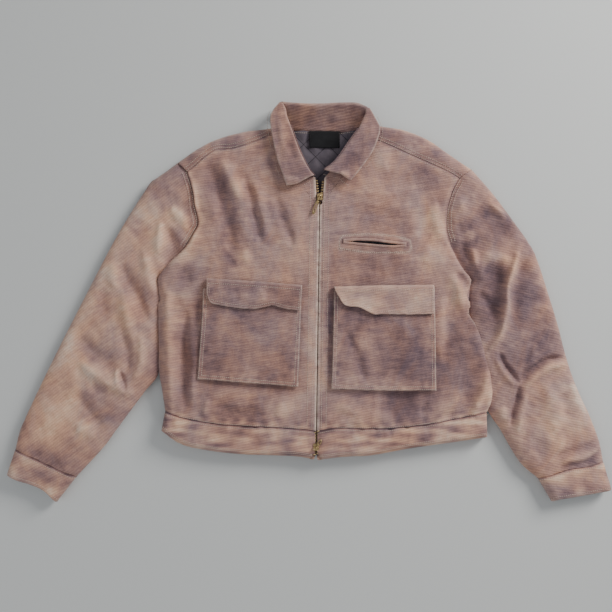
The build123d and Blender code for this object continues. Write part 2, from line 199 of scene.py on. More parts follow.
FOLDS_SLEEVE = {"left": [
    ([(-340, 190), (-290, 125), (-272, 70)], 40, 0.0, 0.6),
    ([(-430, -180), (-470, -235), (-510, -290)], 45, 0.0, 0.5),
    ([(-288, 232), (-350, 160), (-449, -59), (-548, -209)], 13, 0.0, 0.45),
    ([(-278, 178), (-262, 150)], 9, 2.0, 0.95),
    ([(-262, 170), (-246, 128)], 8, 1.6, 0.85),
    ([(-298, 148), (-300, 84)], 9, 3.2, 0.7),
    ([(-283, 138), (-275, 92), (-292, 62)], 13, -4.0, -0.75),
    ([(-330, 150), (-352, 120)], 16, -1.2, -0.55),
    ([(-330, 92), (-316, 50), (-304, 8)], 11, 3.4, 0.5),
    ([(-372, 66), (-352, 30), (-332, -8), (-318, -42)], 13, -5.0, -0.85),
    ([(-386, 70), (-378, 20)], 12, 2.6, 0.25),
    ([(-366, 12), (-352, -40), (-340, -90)], 13, 3.6, 0.35),
    ([(-402, 20), (-396, -30)], 12, -1.8, -0.35),
    ([(-330, -60), (-326, -110), (-338, -150)], 9, 2.8, 0.5),
    ([(-362, -50), (-352, -110), (-356, -140)], 8, -2.6, -0.4),
    ([(-366, -134), (-360, -152), (-354, -170)], 5, -3.4, -0.9),
    ([(-374, -128), (-368, -160)], 5, 2.2, 0.55),
    ([(-449, -74), (-410, -104), (-373, -134)], 14, -3.4, -0.85),
    ([(-444, -114), (-400, -146), (-338, -176)], 12, 3.6, 0.65),
    ([(-470, -60), (-462, -130), (-440, -190)], 18, 1.4, 0.4),
    ([(-449, -174), (-420, -210), (-398, -236)], 15, -2.4, -0.6),
    ([(-440, -230), (-410, -256)], 12, 2.4, 0.55),
    ([(-500, -190), (-480, -250)], 17, 1.0, 0.3),
    ([(-534, -284), (-500, -294), (-459, -316)], 11, -1.6, -0.95),
    ([(-420, -160), (-390, -180)], 9, -1.6, -0.5),
    ([(-520, -250), (-490, -270)], 14, 0.8, 0.1),
    ([(-300, 200), (-400, 20), (-520, -250)], 85, 0.0, 0.34),
], "right": [
    ([(370, 40), (389, -45), (410, -120)], 40, 0.0, -0.5),
    ([(372, 104), (362, 62), (352, 29), (347, -26), (338, -56), (315, -84)], 9, 7.5, 0.85),
    ([(388, 98), (374, 40), (366, -10), (356, -50)], 14, -3.0, -0.5),
    ([(338, 80), (330, 40), (326, -10)], 13, -3.2, -0.65),
    ([(317, 192), (336, 178), (352, 160)], 6, 2.8, 0.7),
    ([(340, 190), (362, 160), (388, 118), (402, 84)], 10, -1.8, -0.7),
    ([(292, 178), (325, 155), (362, 122)], 18, -2.0, -0.85),
    ([(268, 205), (262, 150), (268, 100)], 10, 2.0, 0.4),
    ([(262, 176), (266, 118), (284, 78)], 9, -2.6, -0.9),
    ([(278, 140), (288, 120)], 10, 0.6, 0.9),
    ([(290, 108), (292, 70)], 7, 2.6, 0.85),
    ([(302, 92), (362, 84)], 12, 2.0, 0.75),
    ([(306, 66), (350, 46)], 12, -2.4, -0.9),
    ([(300, 20), (322, -2), (332, -30)], 9, -4.0, -1.0),
    ([(396, -4), (436, -2)], 9, 0.8, 0.5),
    ([(384, 10), (432, 12)], 10, -0.8, -0.5),
    ([(375, -146), (398, -118), (433, -100), (463, -97)], 5, -4.5, -0.9),
    ([(380, -158), (408, -128), (440, -112), (468, -108)], 7, 3.4, 0.6),
    ([(375, -146), (352, -116), (337, -86)], 5, -3.6, -0.8),
    ([(364, -150), (344, -124), (330, -100)], 7, 3.2, 0.4),
    ([(375, -146), (366, -186), (357, -222)], 5, -4.2, -0.9),
    ([(386, -158), (378, -200), (368, -235)], 8, 3.2, 0.45),
    ([(396, -76), (388, -104), (376, -140)], 6, -1.8, -0.3),
    ([(345, -190), (340, -215)], 9, 2.5, 0.5),
    ([(468, -141), (486, -172), (500, -205)], 8, 0.8, 0.95),
    ([(420, -140), (440, -200), (446, -250)], 14, 2.0, 0.25),
    ([(456, -160), (462, -210)], 11, -1.5, -0.5),
    ([(420, -250), (460, -255)], 14, 1.4, 0.45),
    ([(448, -301), (498, -286), (524, -270)], 5, -2.2, -1.1),
    ([(452, -290), (500, -274), (522, -258)], 5, 1.6, 0.4),
    ([(440, -280), (490, -262), (518, -246)], 6, -1.6, -0.7),
    ([(400, -235), (420, -290)], 10, -1.2, -0.3),
    ([(410, 60), (430, 0)], 14, 0.0, 0.3),
    ([(430, -100), (470, -180), (500, -260)], 60, 0.0, 0.34),
    ([(310, 190), (360, 90), (395, 20)], 50, 0.0, -0.12),
]}
WELT_FRAME = [(38, 100), (39, 113), (43, 124), (70, 127), (105, 128), (140, 125), (170, 118), (172, 107),
              (168, 96),
              (130, 95), (96, 95), (60, 98), (38, 100)]
SLIT_UP = [(45, 114.5), (72, 116.5), (102, 116), (135, 112.5), (163, 109.5)]
SLIT_LOW = [(45, 114), (72, 111.6), (102, 109.4), (135, 107.5), (163, 109)]


# ---- curves and grids -------------------------------------------------------------------
def smooth(path, count):
    """count points evenly spaced along a smooth curve through the path."""
    p = np.array(path, float)
    ends = np.vstack([2 * p[0] - p[1], p, 2 * p[-1] - p[-2]])
    fine = []
    for i in range(len(p) - 1):
        a, b, c, d = ends[i:i + 4]
        t = np.linspace(0, 1, 12, endpoint=False)[:, None]
        fine.append(0.5 * (2 * b + (c - a) * t + (2 * a - 5 * b + 4 * c - d) * t ** 2
                           + (3 * b - a - 3 * c + d) * t ** 3))
    fine = np.vstack(fine + [p[-1:]])
    run = np.concatenate([[0], np.cumsum(np.linalg.norm(np.diff(fine, axis=0), axis=1))])
    at = np.linspace(0, run[-1], count)
    return np.stack([np.interp(at, run, fine[:, k]) for k in range(p.shape[1])], 1)


def length(path):
    return float(np.linalg.norm(np.diff(smooth(path, 60), axis=0), axis=1).sum())


def shifted(path, dx, dy):
    return [(x + dx, y + dy) for x, y in path]


def coons(left, right, top, bottom, step=STEP):
    """A grid of points (rows down, columns across) that fills the four curves."""
    nu = int(max(length(top), length(bottom)) / step) + 2
    nv = int(max(length(left), length(right)) / step) + 2
    a, b = smooth(left, nv)[:, None], smooth(right, nv)[:, None]
    c, d = smooth(top, nu)[None], smooth(bottom, nu)[None]
    u = np.linspace(0, 1, nu)[None, :, None]
    v = np.linspace(0, 1, nv)[:, None, None]
    corners = ((1 - u) * (1 - v) * c[:, :1] + u * (1 - v) * c[:, -1:]
               + (1 - u) * v * d[:, :1] + u * v * d[:, -1:])
    return (1 - v) * c + v * d + (1 - u) * a + u * b - corners


def away(xy, path):
    """Distance of each point from a path, and how far along the path it is, 0 to 1."""
    p = smooth(path, max(len(path) * 3, 8))
    best = np.full(xy.shape[:-1], 1e9)
    along = np.zeros(xy.shape[:-1])
    for i in range(len(p) - 1):
        d = p[i + 1] - p[i]
        t = np.clip(((xy - p[i]) @ d) / (d @ d + 1e-9), 0, 1)
        gap = np.linalg.norm(xy - p[i] - t[..., None] * d, axis=-1)
        closer = gap < best
        best = np.where(closer, gap, best)
        along = np.where(closer, (i + t) / (len(p) - 1), along)
    return best, along


def reach(xy, *paths):
    """Distance of each point from the nearest of these paths."""
    return np.minimum.reduce([away(xy, path)[0] for path in paths])


def near(gap, width):
    """1 on a line, falling smoothly to almost nothing two widths away."""
    return np.exp(-(gap / width) ** 2)


def ripple(xy, size, seed):
    """A smooth random field between about -1 and 1 with features of this size."""
    r = np.random.default_rng(seed)
    total = np.zeros(xy.shape[:-1])
    for _ in range(26):
        a = r.uniform(0, 2 * math.pi)
        k = 2 * math.pi / size * r.uniform(0.5, 1.5)
        way = np.array([math.cos(a), math.sin(a)])
        total += np.cos(k * (xy @ way) + r.uniform(0, 2 * math.pi))
    return total / 26 * 2.2


def relief(xy, folds):
    """Fold height, and fading with painted highlights on raised folds and painted shade in creases, from the
    listed folds, each tapering away at both ends.
    """
    bend = np.stack([ripple(xy, 60, 3), ripple(xy, 60, 4)], -1) * 3.0
    up, fade_and_shading = np.zeros(xy.shape[:-1]), np.zeros(xy.shape[:-1])
    for path, width, height, light in folds:
        gap, along = away(xy + bend, path)
        swell = np.clip(np.sin(np.clip(along, 0, 1) * math.pi), 0, 1) ** 0.7
        fall = np.clip(swell * 1.3, 0.06, 1)
        gap = gap / (0.5 + 0.5 * swell)
        up += DEPTH * height * near(gap, width) * fall
        soft, share = (1.25, 1.0) if light > 0 else (1.9, 0.62)
        fade_and_shading += share * light * near(gap, width * soft) * fall
    return up, fade_and_shading


def roll(gap, radius):
    """0 at an edge, 1 beyond radius, like the side of a rounded fold."""
    t = np.clip(gap / radius, 0, 1)
    return np.sqrt(np.clip(1 - (1 - t) ** 2, 0, 1))


# ---- meshes ------------------------------------------------------------------------------
def place(co):
    out = np.array(co, float) * MM
    out[..., 0] += ZIP_X
    out[..., 1] += MID_Y
    return out


def make_mesh(name, co, faces, mats=(), face_mats=None, uv=None, marks=None):
    """A mesh object from millimetre points; marks are per-point numbers for the materials."""
    mesh = bpy.data.meshes.new(name)
    mesh.from_pydata(place(co).tolist(), [], [list(map(int, f)) for f in faces])
    for m in mats:
        mesh.materials.append(m)
    if face_mats is not None:
        mesh.polygons.foreach_set("material_index", np.array(face_mats, np.int32))
    if uv is None:
        uv = np.array(co, float)[:, :2]
    layer = mesh.uv_layers.new(name="cloth")
    at = np.zeros(len(mesh.loops), np.int32)
    mesh.loops.foreach_get("vertex_index", at)
    layer.data.foreach_set("uv", (np.array(uv)[at] * MM).astype(np.float32).ravel())
    for key, values in (marks or {}).items():
        attribute = mesh.attributes.new(key, "FLOAT", "POINT")
        attribute.data.foreach_set("value", np.array(values, np.float32).ravel())
    mesh.polygons.foreach_set("use_smooth", [True] * len(mesh.polygons))
    mesh.validate()
    mesh.update()
    obj = bpy.data.objects.new(name, mesh)
    bpy.context.scene.collection.objects.link(obj)
    return obj


def grid_faces(rows, cols, keep=None):
    i = np.arange(rows * cols).reshape(rows, cols)
    f = np.stack([i[:-1, :-1], i[1:, :-1], i[1:, 1:], i[:-1, 1:]], -1).reshape(-1, 4)
    return f if keep is None else f[keep.reshape(-1)]



def cloth(name, xy, upper, lower, mats, fade_and_shading, wear_and_shade, keep=None, lining_shade=None, facing=None):
    """A closed piece of cloth: outer face, inner face and the turned edge that joins them."""
    rows, cols = xy.shape[:2]
    n = rows * cols
    top = np.concatenate([xy, upper[..., None]], -1).reshape(-1, 3)
    low = np.concatenate([xy, lower[..., None]], -1).reshape(-1, 3)
    faces = grid_faces(rows, cols, keep)
    edges = np.concatenate([faces[:, [k, (k + 1) % 4]] for k in range(4)])
    code = edges[:, 0].astype(np.int64) * n + edges[:, 1]
    back = edges[:, 1].astype(np.int64) * n + edges[:, 0]
    rim = edges[~np.isin(code, back)]
    rim_faces = np.stack([rim[:, 1], rim[:, 0], rim[:, 0] + n, rim[:, 1] + n], 1)
    every = np.concatenate([faces, faces[:, ::-1] + n, rim_faces])
    first = top[faces[0]]
    if np.cross(first[1] - first[0], first[2] - first[0])[2] < 0:
        every = every[:, ::-1]
    inner = np.ones(len(faces))
    if facing is not None:
        inner = 1.0 - facing.ravel()[faces[:, 0]]
    kinds = np.concatenate([np.zeros(len(faces)), inner, np.zeros(len(rim_faces))])
    under = 0 * wear_and_shade if lining_shade is None else lining_shade
    marks = {"fade_and_shading": np.tile(fade_and_shading.ravel(), 2), "wear_and_shade": np.concatenate([wear_and_shade.ravel(), under.ravel()])}
    return make_mesh(name, np.vstack([top, low]), every, mats, kinds, marks=marks)


def tube(name, ring, ring_in, mats, fade_and_shading, wear_and_shade, turn):
    """An open-ended thick tube from outer and inner rings (rows, points, 3)."""
    rows, m = ring.shape[:2]
    n = rows * m
    i = np.arange(n).reshape(rows, m)
    j = np.roll(i, -1, 1)
    outer = np.stack([i[:-1], j[:-1], j[1:], i[1:]], -1).reshape(-1, 4)
    first = np.stack([i[0], i[0] + n, j[0] + n, j[0]], -1)
    last = np.stack([i[-1], j[-1], j[-1] + n, i[-1] + n], -1)
    faces = np.concatenate([outer, outer[:, ::-1] + n, first, last])
    side, ahead, down = ring[0, m // 4], ring[0, m // 4 + 1], ring[1, m // 4 + 1]
    if np.cross(ahead - side, down - side)[2] < 0:
        faces = faces[:, ::-1]
    kinds = np.concatenate([np.zeros(len(outer)), np.ones(len(outer)), np.zeros(len(first) * 2)])
    co = np.vstack([ring.reshape(-1, 3), ring_in.reshape(-1, 3)])
    c, s = math.cos(turn), math.sin(turn)
    uv = co[:, :2] @ np.array([[c, s], [-s, c]])
    marks = {"fade_and_shading": np.tile(fade_and_shading.ravel(), 2), "wear_and_shade": np.tile(wear_and_shade.ravel(), 2)}
    return make_mesh(name, co, faces, mats, kinds, uv, marks)


def tree(*objects):
    """A ray-cast tree over finished pieces, in metres."""
    points, faces = [], []
    for o in objects:
        base = len(points)
        points.extend(v.co.copy() for v in o.data.vertices)
        faces.extend([base + k for k in p.vertices] for p in o.data.polygons)
    return BVHTree.FromPolygons(points, faces)


def on_top(bvh, path, lift=0.0):
    """The path laid on the upper side of the cloth under it, in millimetres."""
    out = []
    last = 25.0
    for x, y in path:
        at = place([x, y, 0.0])
        hit = bvh.ray_cast(Vector((at[0], at[1], 0.2)), Vector((0, 0, -1)))
        if hit[0] is not None:
            last = hit[0].z / MM
        out.append((x, y, last + lift))
    return np.array(out)


def attach(obj, way):
    """Ride on one body, as the cloth of this name does; where two bodies are given, no blend is made and the
    piece is only fixed in place.
    """
    if isinstance(way, str):
        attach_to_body(obj, way)
    else:
        a, b, start, end = way
        tuple(place(start))
        tuple(place(end))
        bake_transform(obj)
    return obj


def join(name, parts):
    bpy.ops.object.select_all(action="DESELECT")
    for p in parts:
        p.select_set(True)
    bpy.context.view_layer.objects.active = parts[0]
    bpy.ops.object.join()
    parts[0].name = name
    return parts[0]


# ---- materials -----------------------------------------------------------------------------
class Shader:
    """A material and short ways to add the nodes it needs; each returns the new node's output."""

    def __init__(self, name, rough=0.9, metal=0.0, sheen=0.0):
        self.mat = bpy.data.materials.new(name)
        self.mat.use_nodes = True
        self.tree = self.mat.node_tree
        self.bsdf = self.tree.nodes["Principled BSDF"]
        self.fill(self.bsdf, {"Roughness": rough, "Metallic": metal, "Sheen Weight": sheen,
                              "Specular IOR Level": 0.5 if metal else 0.22})

    def fill(self, node, inputs):
        for slot, value in inputs.items():
            if isinstance(value, bpy.types.NodeSocket):
                self.tree.links.new(value, node.inputs[slot])
            else:
                node.inputs[slot].default_value = value

    def add(self, kind, inputs, out=0, **settings):
        node = self.tree.nodes.new("ShaderNode" + kind)
        for key, value in settings.items():
            setattr(node, key, value)
        self.fill(node, inputs)
        return node.outputs[out]

    def math(self, kind, *values, clamp=False):
        return self.add("Math", dict(enumerate(values)), operation=kind, use_clamp=clamp)

    def mix(self, fac, a, b, kind="MIX"):
        return self.add("Mix", {0: fac, 6: a, 7: b}, 2, data_type="RGBA", blend_type=kind)

    def noise(self, vector, scale, detail, rough, twist=0.0):
        return self.add("TexNoise", {"Scale": scale, "Detail": detail, "Roughness": rough,
                                     "Distortion": twist, "Vector": vector}, "Fac")

    def stretched(self, vector, size, spin=0.0):
        return self.add("Mapping", {"Scale": size, "Rotation": (0, 0, spin), "Vector": vector})

    def bands(self, vector, period, spin):
        """Parallel lines this far apart, in metres, as a 0 to 1 wave."""
        return self.add("TexWave", {"Scale": 2 * math.pi / (20 * period), "Distortion": 1.6, "Detail": 1.5,
                                    "Vector": self.stretched(vector, (1, 1, 1), spin)}, "Fac")

    def ramp(self, fac, stops):
        node = self.tree.nodes.new("ShaderNodeValToRGB")
        elements = node.color_ramp.elements
        while len(elements) < len(stops):
            elements.new(0.5)
        for e, (at, colour) in zip(elements, stops):
            e.position = at
            e.color = (*colour, 1)
        self.fill(node, {0: fac})
        return node.outputs[0]

    def uv(self):
        return self.add("UVMap", {}, uv_map="cloth")

    def mark(self, key):
        """The per-point numbers stored on the mesh under this name."""
        return self.add("Attribute", {}, "Fac", attribute_name=key)

    def finish(self, colour, height=None, strength=0.0, distance=0.0):
        self.fill(self.bsdf, {"Base Color": colour})
        if height is not None:
            bump = self.add("Bump", {"Strength": strength, "Distance": distance, "Height": height})
            self.fill(self.bsdf, {"Normal": bump})
        return self.mat


def canvas_material(name, lift=0.0, dusk=0.0):
    """Over-dyed cotton twill: plum shadows, mauve ground, peach where washed out and where a highlight is
    painted, cream at worn edges.
    """
    m = Shader(name, rough=0.93, sheen=0.12)
    uv = m.uv()
    wide = m.noise(uv, 6.0, 6.0, 0.62, 1.0)
    patch = m.noise(m.stretched(uv, (1, 0.55, 1), 0.5), 17.0, 6.0, 0.65, 0.8)
    streak = m.noise(m.stretched(uv, (0.16, 1.0, 1), 0.08), 150.0, 4.0, 0.6, 0.2)
    mottle = m.noise(m.stretched(uv, (1, 0.6, 1), 0.9), 58.0, 5.0, 0.7, 0.6)
    grain = m.noise(uv, 520.0, 3.0, 0.75)
    tone = m.math("MULTIPLY_ADD", wide, 0.85, 0.11 + lift - dusk)
    for source, share in ((patch, 0.62), (mottle, 0.34), (streak, 0.44), (grain, 0.36)):
        tone = m.math("ADD", tone, m.math("MULTIPLY_ADD", source, share, -share / 2))
    # this per-point mark draws the dye's fading, and also painted highlights on fold ridges and painted shade
    # in creases, seams and at the pockets' edges
    tone = m.math("ADD", tone, m.math("MULTIPLY", m.mark("fade_and_shading"), 0.36))
    colour = m.ramp(tone, [
        (0.0, (0.105, 0.064, 0.076)), (0.22, (0.180, 0.108, 0.116)), (0.42, (0.315, 0.186, 0.174)),
        (0.60, (0.470, 0.278, 0.232)), (0.80, (0.655, 0.405, 0.300)), (1.0, (0.790, 0.560, 0.430))])
    hue = m.noise(m.stretched(uv, (1, 0.8, 1), 2.1), 13.0, 5.0, 0.62, 0.9)
    tint = m.ramp(hue, [(0.36, (0.92, 1.0, 1.09)), (0.64, (1.07, 0.99, 0.88))])
    colour = m.mix(1.0, colour, tint, "MULTIPLY")
    rib = m.bands(uv, 0.0046, 1.35)
    twill = m.bands(uv, 0.0014, 0.9)
    lines = m.ramp(m.math("MULTIPLY_ADD", rib, 0.4, 0.8), [(0, (0, 0, 0)), (1, (1, 1, 1))])
    colour = m.mix(0.8, colour, lines, "MULTIPLY")
    rubbed = m.math("MULTIPLY_ADD", m.noise(uv, 60.0, 4.0, 0.7), 3.2, -1.05)
    worn = m.math("MULTIPLY", m.mark("wear_and_shade"), m.math("MAXIMUM", rubbed, 0.12))
    colour = m.mix(m.math("MULTIPLY", worn, 1.0, clamp=True), colour, (0.70, 0.53, 0.44, 1))
    weave = m.math("ADD", m.math("MULTIPLY", twill, 0.5), m.math("MULTIPLY", rib, 0.7))
    slubs = m.math("MULTIPLY", m.noise(uv, 140.0, 3.0, 0.7), 1.6)
    return m.finish(colour, m.math("ADD", weave, slubs), 0.5, 0.0008)


def cloth_material(name, low, high, weave=0.0012, scale=40.0, quilted=False):
    """A plain woven cloth with some unevenness; painted shade darkens it in the grooves along its quilting
    thread.
    """
    m = Shader(name, sheen=0.1)
    uv = m.uv()
    # painted shade: the per-point mark darkens the lining in the grooves along its quilting thread
    shade = m.math("SUBTRACT", m.noise(uv, scale, 5.0, 0.6), m.mark("wear_and_shade"), clamp=True)
    for spin in (math.pi / 4, -math.pi / 4) if quilted else ():
        at = m.add("SeparateXYZ", {0: m.stretched(uv, (1, 1, 1), spin)})
        near_line = m.math("PINGPONG", m.math("ADD", at, QUILT_SHIFT * MM), QUILT_PITCH * MM / 2)
        line = m.math("LESS_THAN", near_line, QUILT_THREAD * MM)
        shade = m.math("SUBTRACT", shade, m.math("MULTIPLY", line, 0.45), clamp=True)
    colour = m.ramp(shade, [(0.0, tuple(c * 0.25 for c in low)), (0.3, low), (0.7, high)])
    cross = m.math("MULTIPLY", m.bands(uv, weave, 0.0), m.bands(uv, weave, math.pi / 2))
    return m.finish(colour, cross, 0.4, 0.0004)


def brass_material():
    m = Shader("aged_brass", rough=0.36, metal=1.0)
    stain = m.noise(m.add("TexCoord", {}, "Object"), 420.0, 5.0, 0.65)
    colour = m.ramp(stain, [(0.3, (0.20, 0.13, 0.06)), (0.55, (0.55, 0.40, 0.20)),
                            (0.75, (0.78, 0.62, 0.36))])
    dull = m.ramp(stain, [(0.3, (0.6, 0.6, 0.6)), (0.7, (0.28, 0.28, 0.28))])
    m.fill(m.bsdf, {"Roughness": dull})
    return m.finish(colour)


CANVAS = canvas_material("canvas")
CANVAS_DARK = canvas_material("canvas_pockets", dusk=0.14)
CANVAS_LIGHT = canvas_material("canvas_flap", lift=0.17)
CANVAS_BAND = canvas_material("canvas_bands", dusk=0.01)
LINING = cloth_material("quilted_lining", (0.105, 0.088, 0.108), (0.150, 0.125, 0.145), quilted=True)
TAPE = cloth_material("zip_tape", (0.10, 0.065, 0.06), (0.16, 0.10, 0.09), weave=0.001)
LABEL = cloth_material("label", (0.008, 0.008, 0.009), (0.016, 0.016, 0.018), weave=0.0006)
HOOKS = cloth_material("hook_loop", (0.07, 0.05, 0.045), (0.13, 0.09, 0.08), weave=0.0022)
THREAD = cloth_material("quilt_shade", (0.56, 0.44, 0.36), (0.70, 0.57, 0.47), weave=0.0005, scale=90.0)
THREAD_DARK = cloth_material("thread_dark", (0.05, 0.035, 0.04), (0.09, 0.06, 0.06), weave=0.0005)
BRASS = brass_material()


# ---- the two bodies listed for each surface, and the ends of a blend between them; no blend is made ---
def across(point, normal, low, high, z):
    """Blend limits low and high millimetres along a normal from a point."""
    start = (point[0] + normal[0] * low, point[1] + normal[1] * low, z)
    return start, (point[0] + normal[0] * high, point[1] + normal[1] * high, z)


FOLLOW = {
    "front_left": ("shell", "front_left_part", *across((-225, 45), (0.9183, -0.3958), -8, 14, 25)),
    "front_right": ("shell", "front_right_part", *across((236, 40), (-0.9307, -0.3659), -8, 14, 25)),
    "sleeve_left": ("shell", "sleeve_left_part", (-290, 0, 12), (-334, 0, 12)),
    "sleeve_right": ("shell", "sleeve_right_part", (318, 0, 12), (360, 0, 12)),
    "flap_left": ("front_left_part", "flap_left_part", *across((-118, 36), (-0.068, -0.998), 0, 7, 30)),
    "flap_right": ("front_right_part", "flap_right_part", *across((120, 32), (0.032, -0.999), 0, 7, 30)),
    "leaf_left": ("front_left_part", "collar_left_part", *across((-36, 285), (-0.891, -0.454), -4, 7, 36)),
    "leaf_right": ("front_right_part", "collar_right_part", *across((41, 290), (0.820, -0.572), -4, 7, 36)),
}


# ---- fronts --------------------------------------------------------------------------------
FRONT_EDGE = [(8.5, 234), (7.6, 220), (6.6, 205), (6.0, 192), (2.2, 182), (0.7, 172), (0.7, 0), (0.8, -239)]
NECK = {"left": [(-60, 318), (-42, 280), (-24, 248)], "right": [(66, 318), (44, 284), (24, 254)]}
POCKETS = {
    "left": [(-214, 30), (-217, -50), (-221, -146), (-130, -149), (-34, -158), (-30, -60), (-30, 26)],
    "right": [(29, 24), (27, -60), (26, -161), (120, -163), (220, -161), (217, -60), (215, 28)],
}


def within(xy, outline):
    """True inside a closed outline."""
    p = np.array(outline, float)
    q = np.roll(p, -1, 0)
    x, y = xy[..., 0], xy[..., 1]
    inside = np.zeros(x.shape, bool)
    for a, b in zip(p, q):
        cross = (a[1] > y) != (b[1] > y)
        at = (b[0] - a[0]) * (y - a[1]) / (b[1] - a[1] + 1e-9) + a[0]
        inside ^= cross & (x < at)
    return inside


def puckers(xy, gap, span, size, height, seed):
    """Small gathers that run away from a seam."""
    wave = ripple(xy * np.array([1.0, 0.12]), size, seed)
    return height * wave * np.exp(-(gap / span))


def quilting(xy):
    """Depth of the diamond quilting, and painted shade in its grooves that grows the nearer its thread each
    point is.
    """
    lines = []
    for way in ((1, 1), (1, -1)):
        t = (xy @ np.array(way)) / math.sqrt(2) + QUILT_SHIFT
        lines.append(np.abs((t + QUILT_PITCH / 2) % QUILT_PITCH - QUILT_PITCH / 2))
    gap = np.minimum(*lines)
    return 1 - near(gap, 7.0), 0.12 * near(gap, 4.0)


def under_slider(xy):
    """The height the cloth keeps below, so the sliders can pass."""
    return SLIDER_CLEAR + np.clip(np.abs(xy[..., 0]) - ZIP_ZONE, 0, 60) * PAST_ZIP


def front(side):
    """A front with its lining and facing, from the side seam and armhole to the zip."""
    side_path, s = ARM[side] + SIDE[side][1:], TOWARD[side]
    edge = [(s * x, y) for x, y in FRONT_EDGE]
    shoulder_line = SEAM[side][::-1] + NECK[side] + [edge[0]]
    if side == "left":
        xy = coons(side_path, edge, shoulder_line, WAIST[side])
    else:
        xy = coons(edge, side_path, shoulder_line[::-1], WAIST[side])
    gap_side, along = away(xy, side_path)
    gap_zip, gap_waist, gap_seam = reach(xy, edge), reach(xy, WAIST[side]), reach(xy, SEAM[side])
    up, fade_and_shading = relief(xy, FOLDS_FRONT)
    calm = np.clip(gap_zip / 28, 0, 1) * np.clip(gap_seam / 12, 0.2, 1)
    up = up + ripple(xy, 95, 11) * 1.5 + ripple(xy, 38, 12) * 0.8 + ripple(xy, 19, 13) * 0.3
    drop = 12.0 * np.clip((along - 0.16) / 0.2, 0, 1)
    z = 25.3 + up * calm - drop * (1 - roll(gap_side, 15))
    z = z + puckers(xy, gap_waist, 18, 21, 2.2, 21) - 1.2 * near(gap_waist, 5)
    z = z + puckers(xy[..., ::-1], gap_zip, 7, 26, 0.4, 22)
    z = np.where(within(xy, POCKETS[side]), np.minimum(z, 27.0), z)
    from_zip = np.abs(xy[..., 0])
    z = np.minimum(z, under_slider(xy))
    # painted light and shade: lighter and darker patches along the waist seam, standing for the shading of
    # its puckers
    fade_and_shading = fade_and_shading + 0.9 * near(gap_waist, 16) * ripple(xy, 24, 23)
    # painted shade: a dark line in the waist, shoulder and armhole seams, with a lighter band beside each
    fade_and_shading = fade_and_shading + 0.55 * near(gap_waist - 5, 3) - 0.9 * near(gap_waist, 2.4)
    fade_and_shading = fade_and_shading + 0.3 * near(gap_seam - 5, 4) - 0.7 * near(gap_seam, 2.2)
    upper_arm = np.clip((0.36 - along) / 0.08, 0, 1)
    fade_and_shading = fade_and_shading + (0.4 * near(gap_side - 5, 4) - 0.45 * near(gap_side, 2.0)) * upper_arm
    wear_and_shade = near(gap_zip, 3.2) * 1.5 + 0.35 * near(gap_side, 4) * np.clip(along * 4 - 1, 0, 1)
    keep = None
    if side == "right":
        frame_gap = reach(xy, WELT_FRAME)
        wear_and_shade = wear_and_shade + 0.55 * near(frame_gap, 2.0)
        z = z + 0.8 * within(xy, WELT_FRAME) - 0.5 * near(frame_gap, 2)
        # painted shade: the cloth is drawn darker along the chest pocket's slit
        fade_and_shading = fade_and_shading - 0.5 * near(reach(xy, SLIT_UP), 5)
        centre = (xy[:-1, :-1] + xy[1:, 1:]) / 2
        keep = ~within(centre, shifted(SLIT_UP, 0, 1.2) + shifted(SLIT_LOW[::-1][1:-1], 0, -1.2))
    # painted shade: the quilting's second term darkens the lining in its grooves
    puff, quilt_shade = quilting(xy)
    faced = gap_zip < FACING
    low = z - 3.4 - 1.5 * puff * ~faced * np.clip(gap_side / 15, 0, 1)
    low = np.where(from_zip < 17, np.minimum(low, 21.7), low)
    low = np.where(from_zip < 5.2, z - 0.65, low)
    return cloth(f"front_cloth_{side}", xy, z, low, (CANVAS, LINING), fade_and_shading, wear_and_shade, keep=keep,
                 lining_shade=quilt_shade * ~faced, facing=faced)


pieces = {}
for side in ("left", "right"):
    pieces[f"front_{side}"] = front(side)


# ---- back, yokes, bands ------------------------------------------------------------------------
def back():
    top = SHOULDER["left"][::-1] + [(-60, 333), (10, 332), (76, 334)] + SHOULDER["right"]
    left = [(-271, 262)] + ARM["left"] + SIDE["left"][1:]
    right = [(288, 258)] + ARM["right"] + SIDE["right"][1:]
    bottom = WAIST["left"][:-1] + [(0, -236)] + WAIST["right"][1:]
    xy = coons(left, right, top, bottom, 3.6)
    gap = reach(xy, left, right, SHOULDER["left"], SHOULDER["right"])
    puff, line = quilting(xy)
    low = 0.7 + 5.6 * (1 - roll(gap, 20)) + 0.35 * (1 + ripple(xy, 80, 31))
    high = low + 3.2 + 2.6 * puff * np.clip(gap / 20, 0, 1)
    fade_and_shading = 0.5 * ripple(xy, 160, 32)
    # painted shade: the quilting's second term darkens the lining in its grooves
    return cloth("back_cloth", xy, high, low, (LINING, CANVAS), fade_and_shading, line)


pieces["back"] = back()


def yoke(side):
    outer = [{"left": (-66, 339), "right": (80, 346)}[side]] + SHOULDER[side]
    seam = [{"left": (-64, 320), "right": (76, 320)}[side]] + SEAM[side]
    if side == "left":
        xy = coons([outer[-1], seam[-1]], [outer[0], seam[0]], outer[::-1], seam[::-1])
    else:
        xy = coons([outer[0], seam[0]], [outer[-1], seam[-1]], outer, seam)
    gap = reach(xy, outer)
    z = 10.5 + 14.3 * roll(gap, 24) + ripple(xy, 40, 33) * 0.7
    fade_and_shading = -0.15 + 0.5 * ripple(xy, 60, 34) + 0.5 * near(gap, 6)
    return cloth(f"yoke_cloth_{side}", xy, z, z - 3.4, (CANVAS, LINING), fade_and_shading, 0.25 * near(gap, 4))


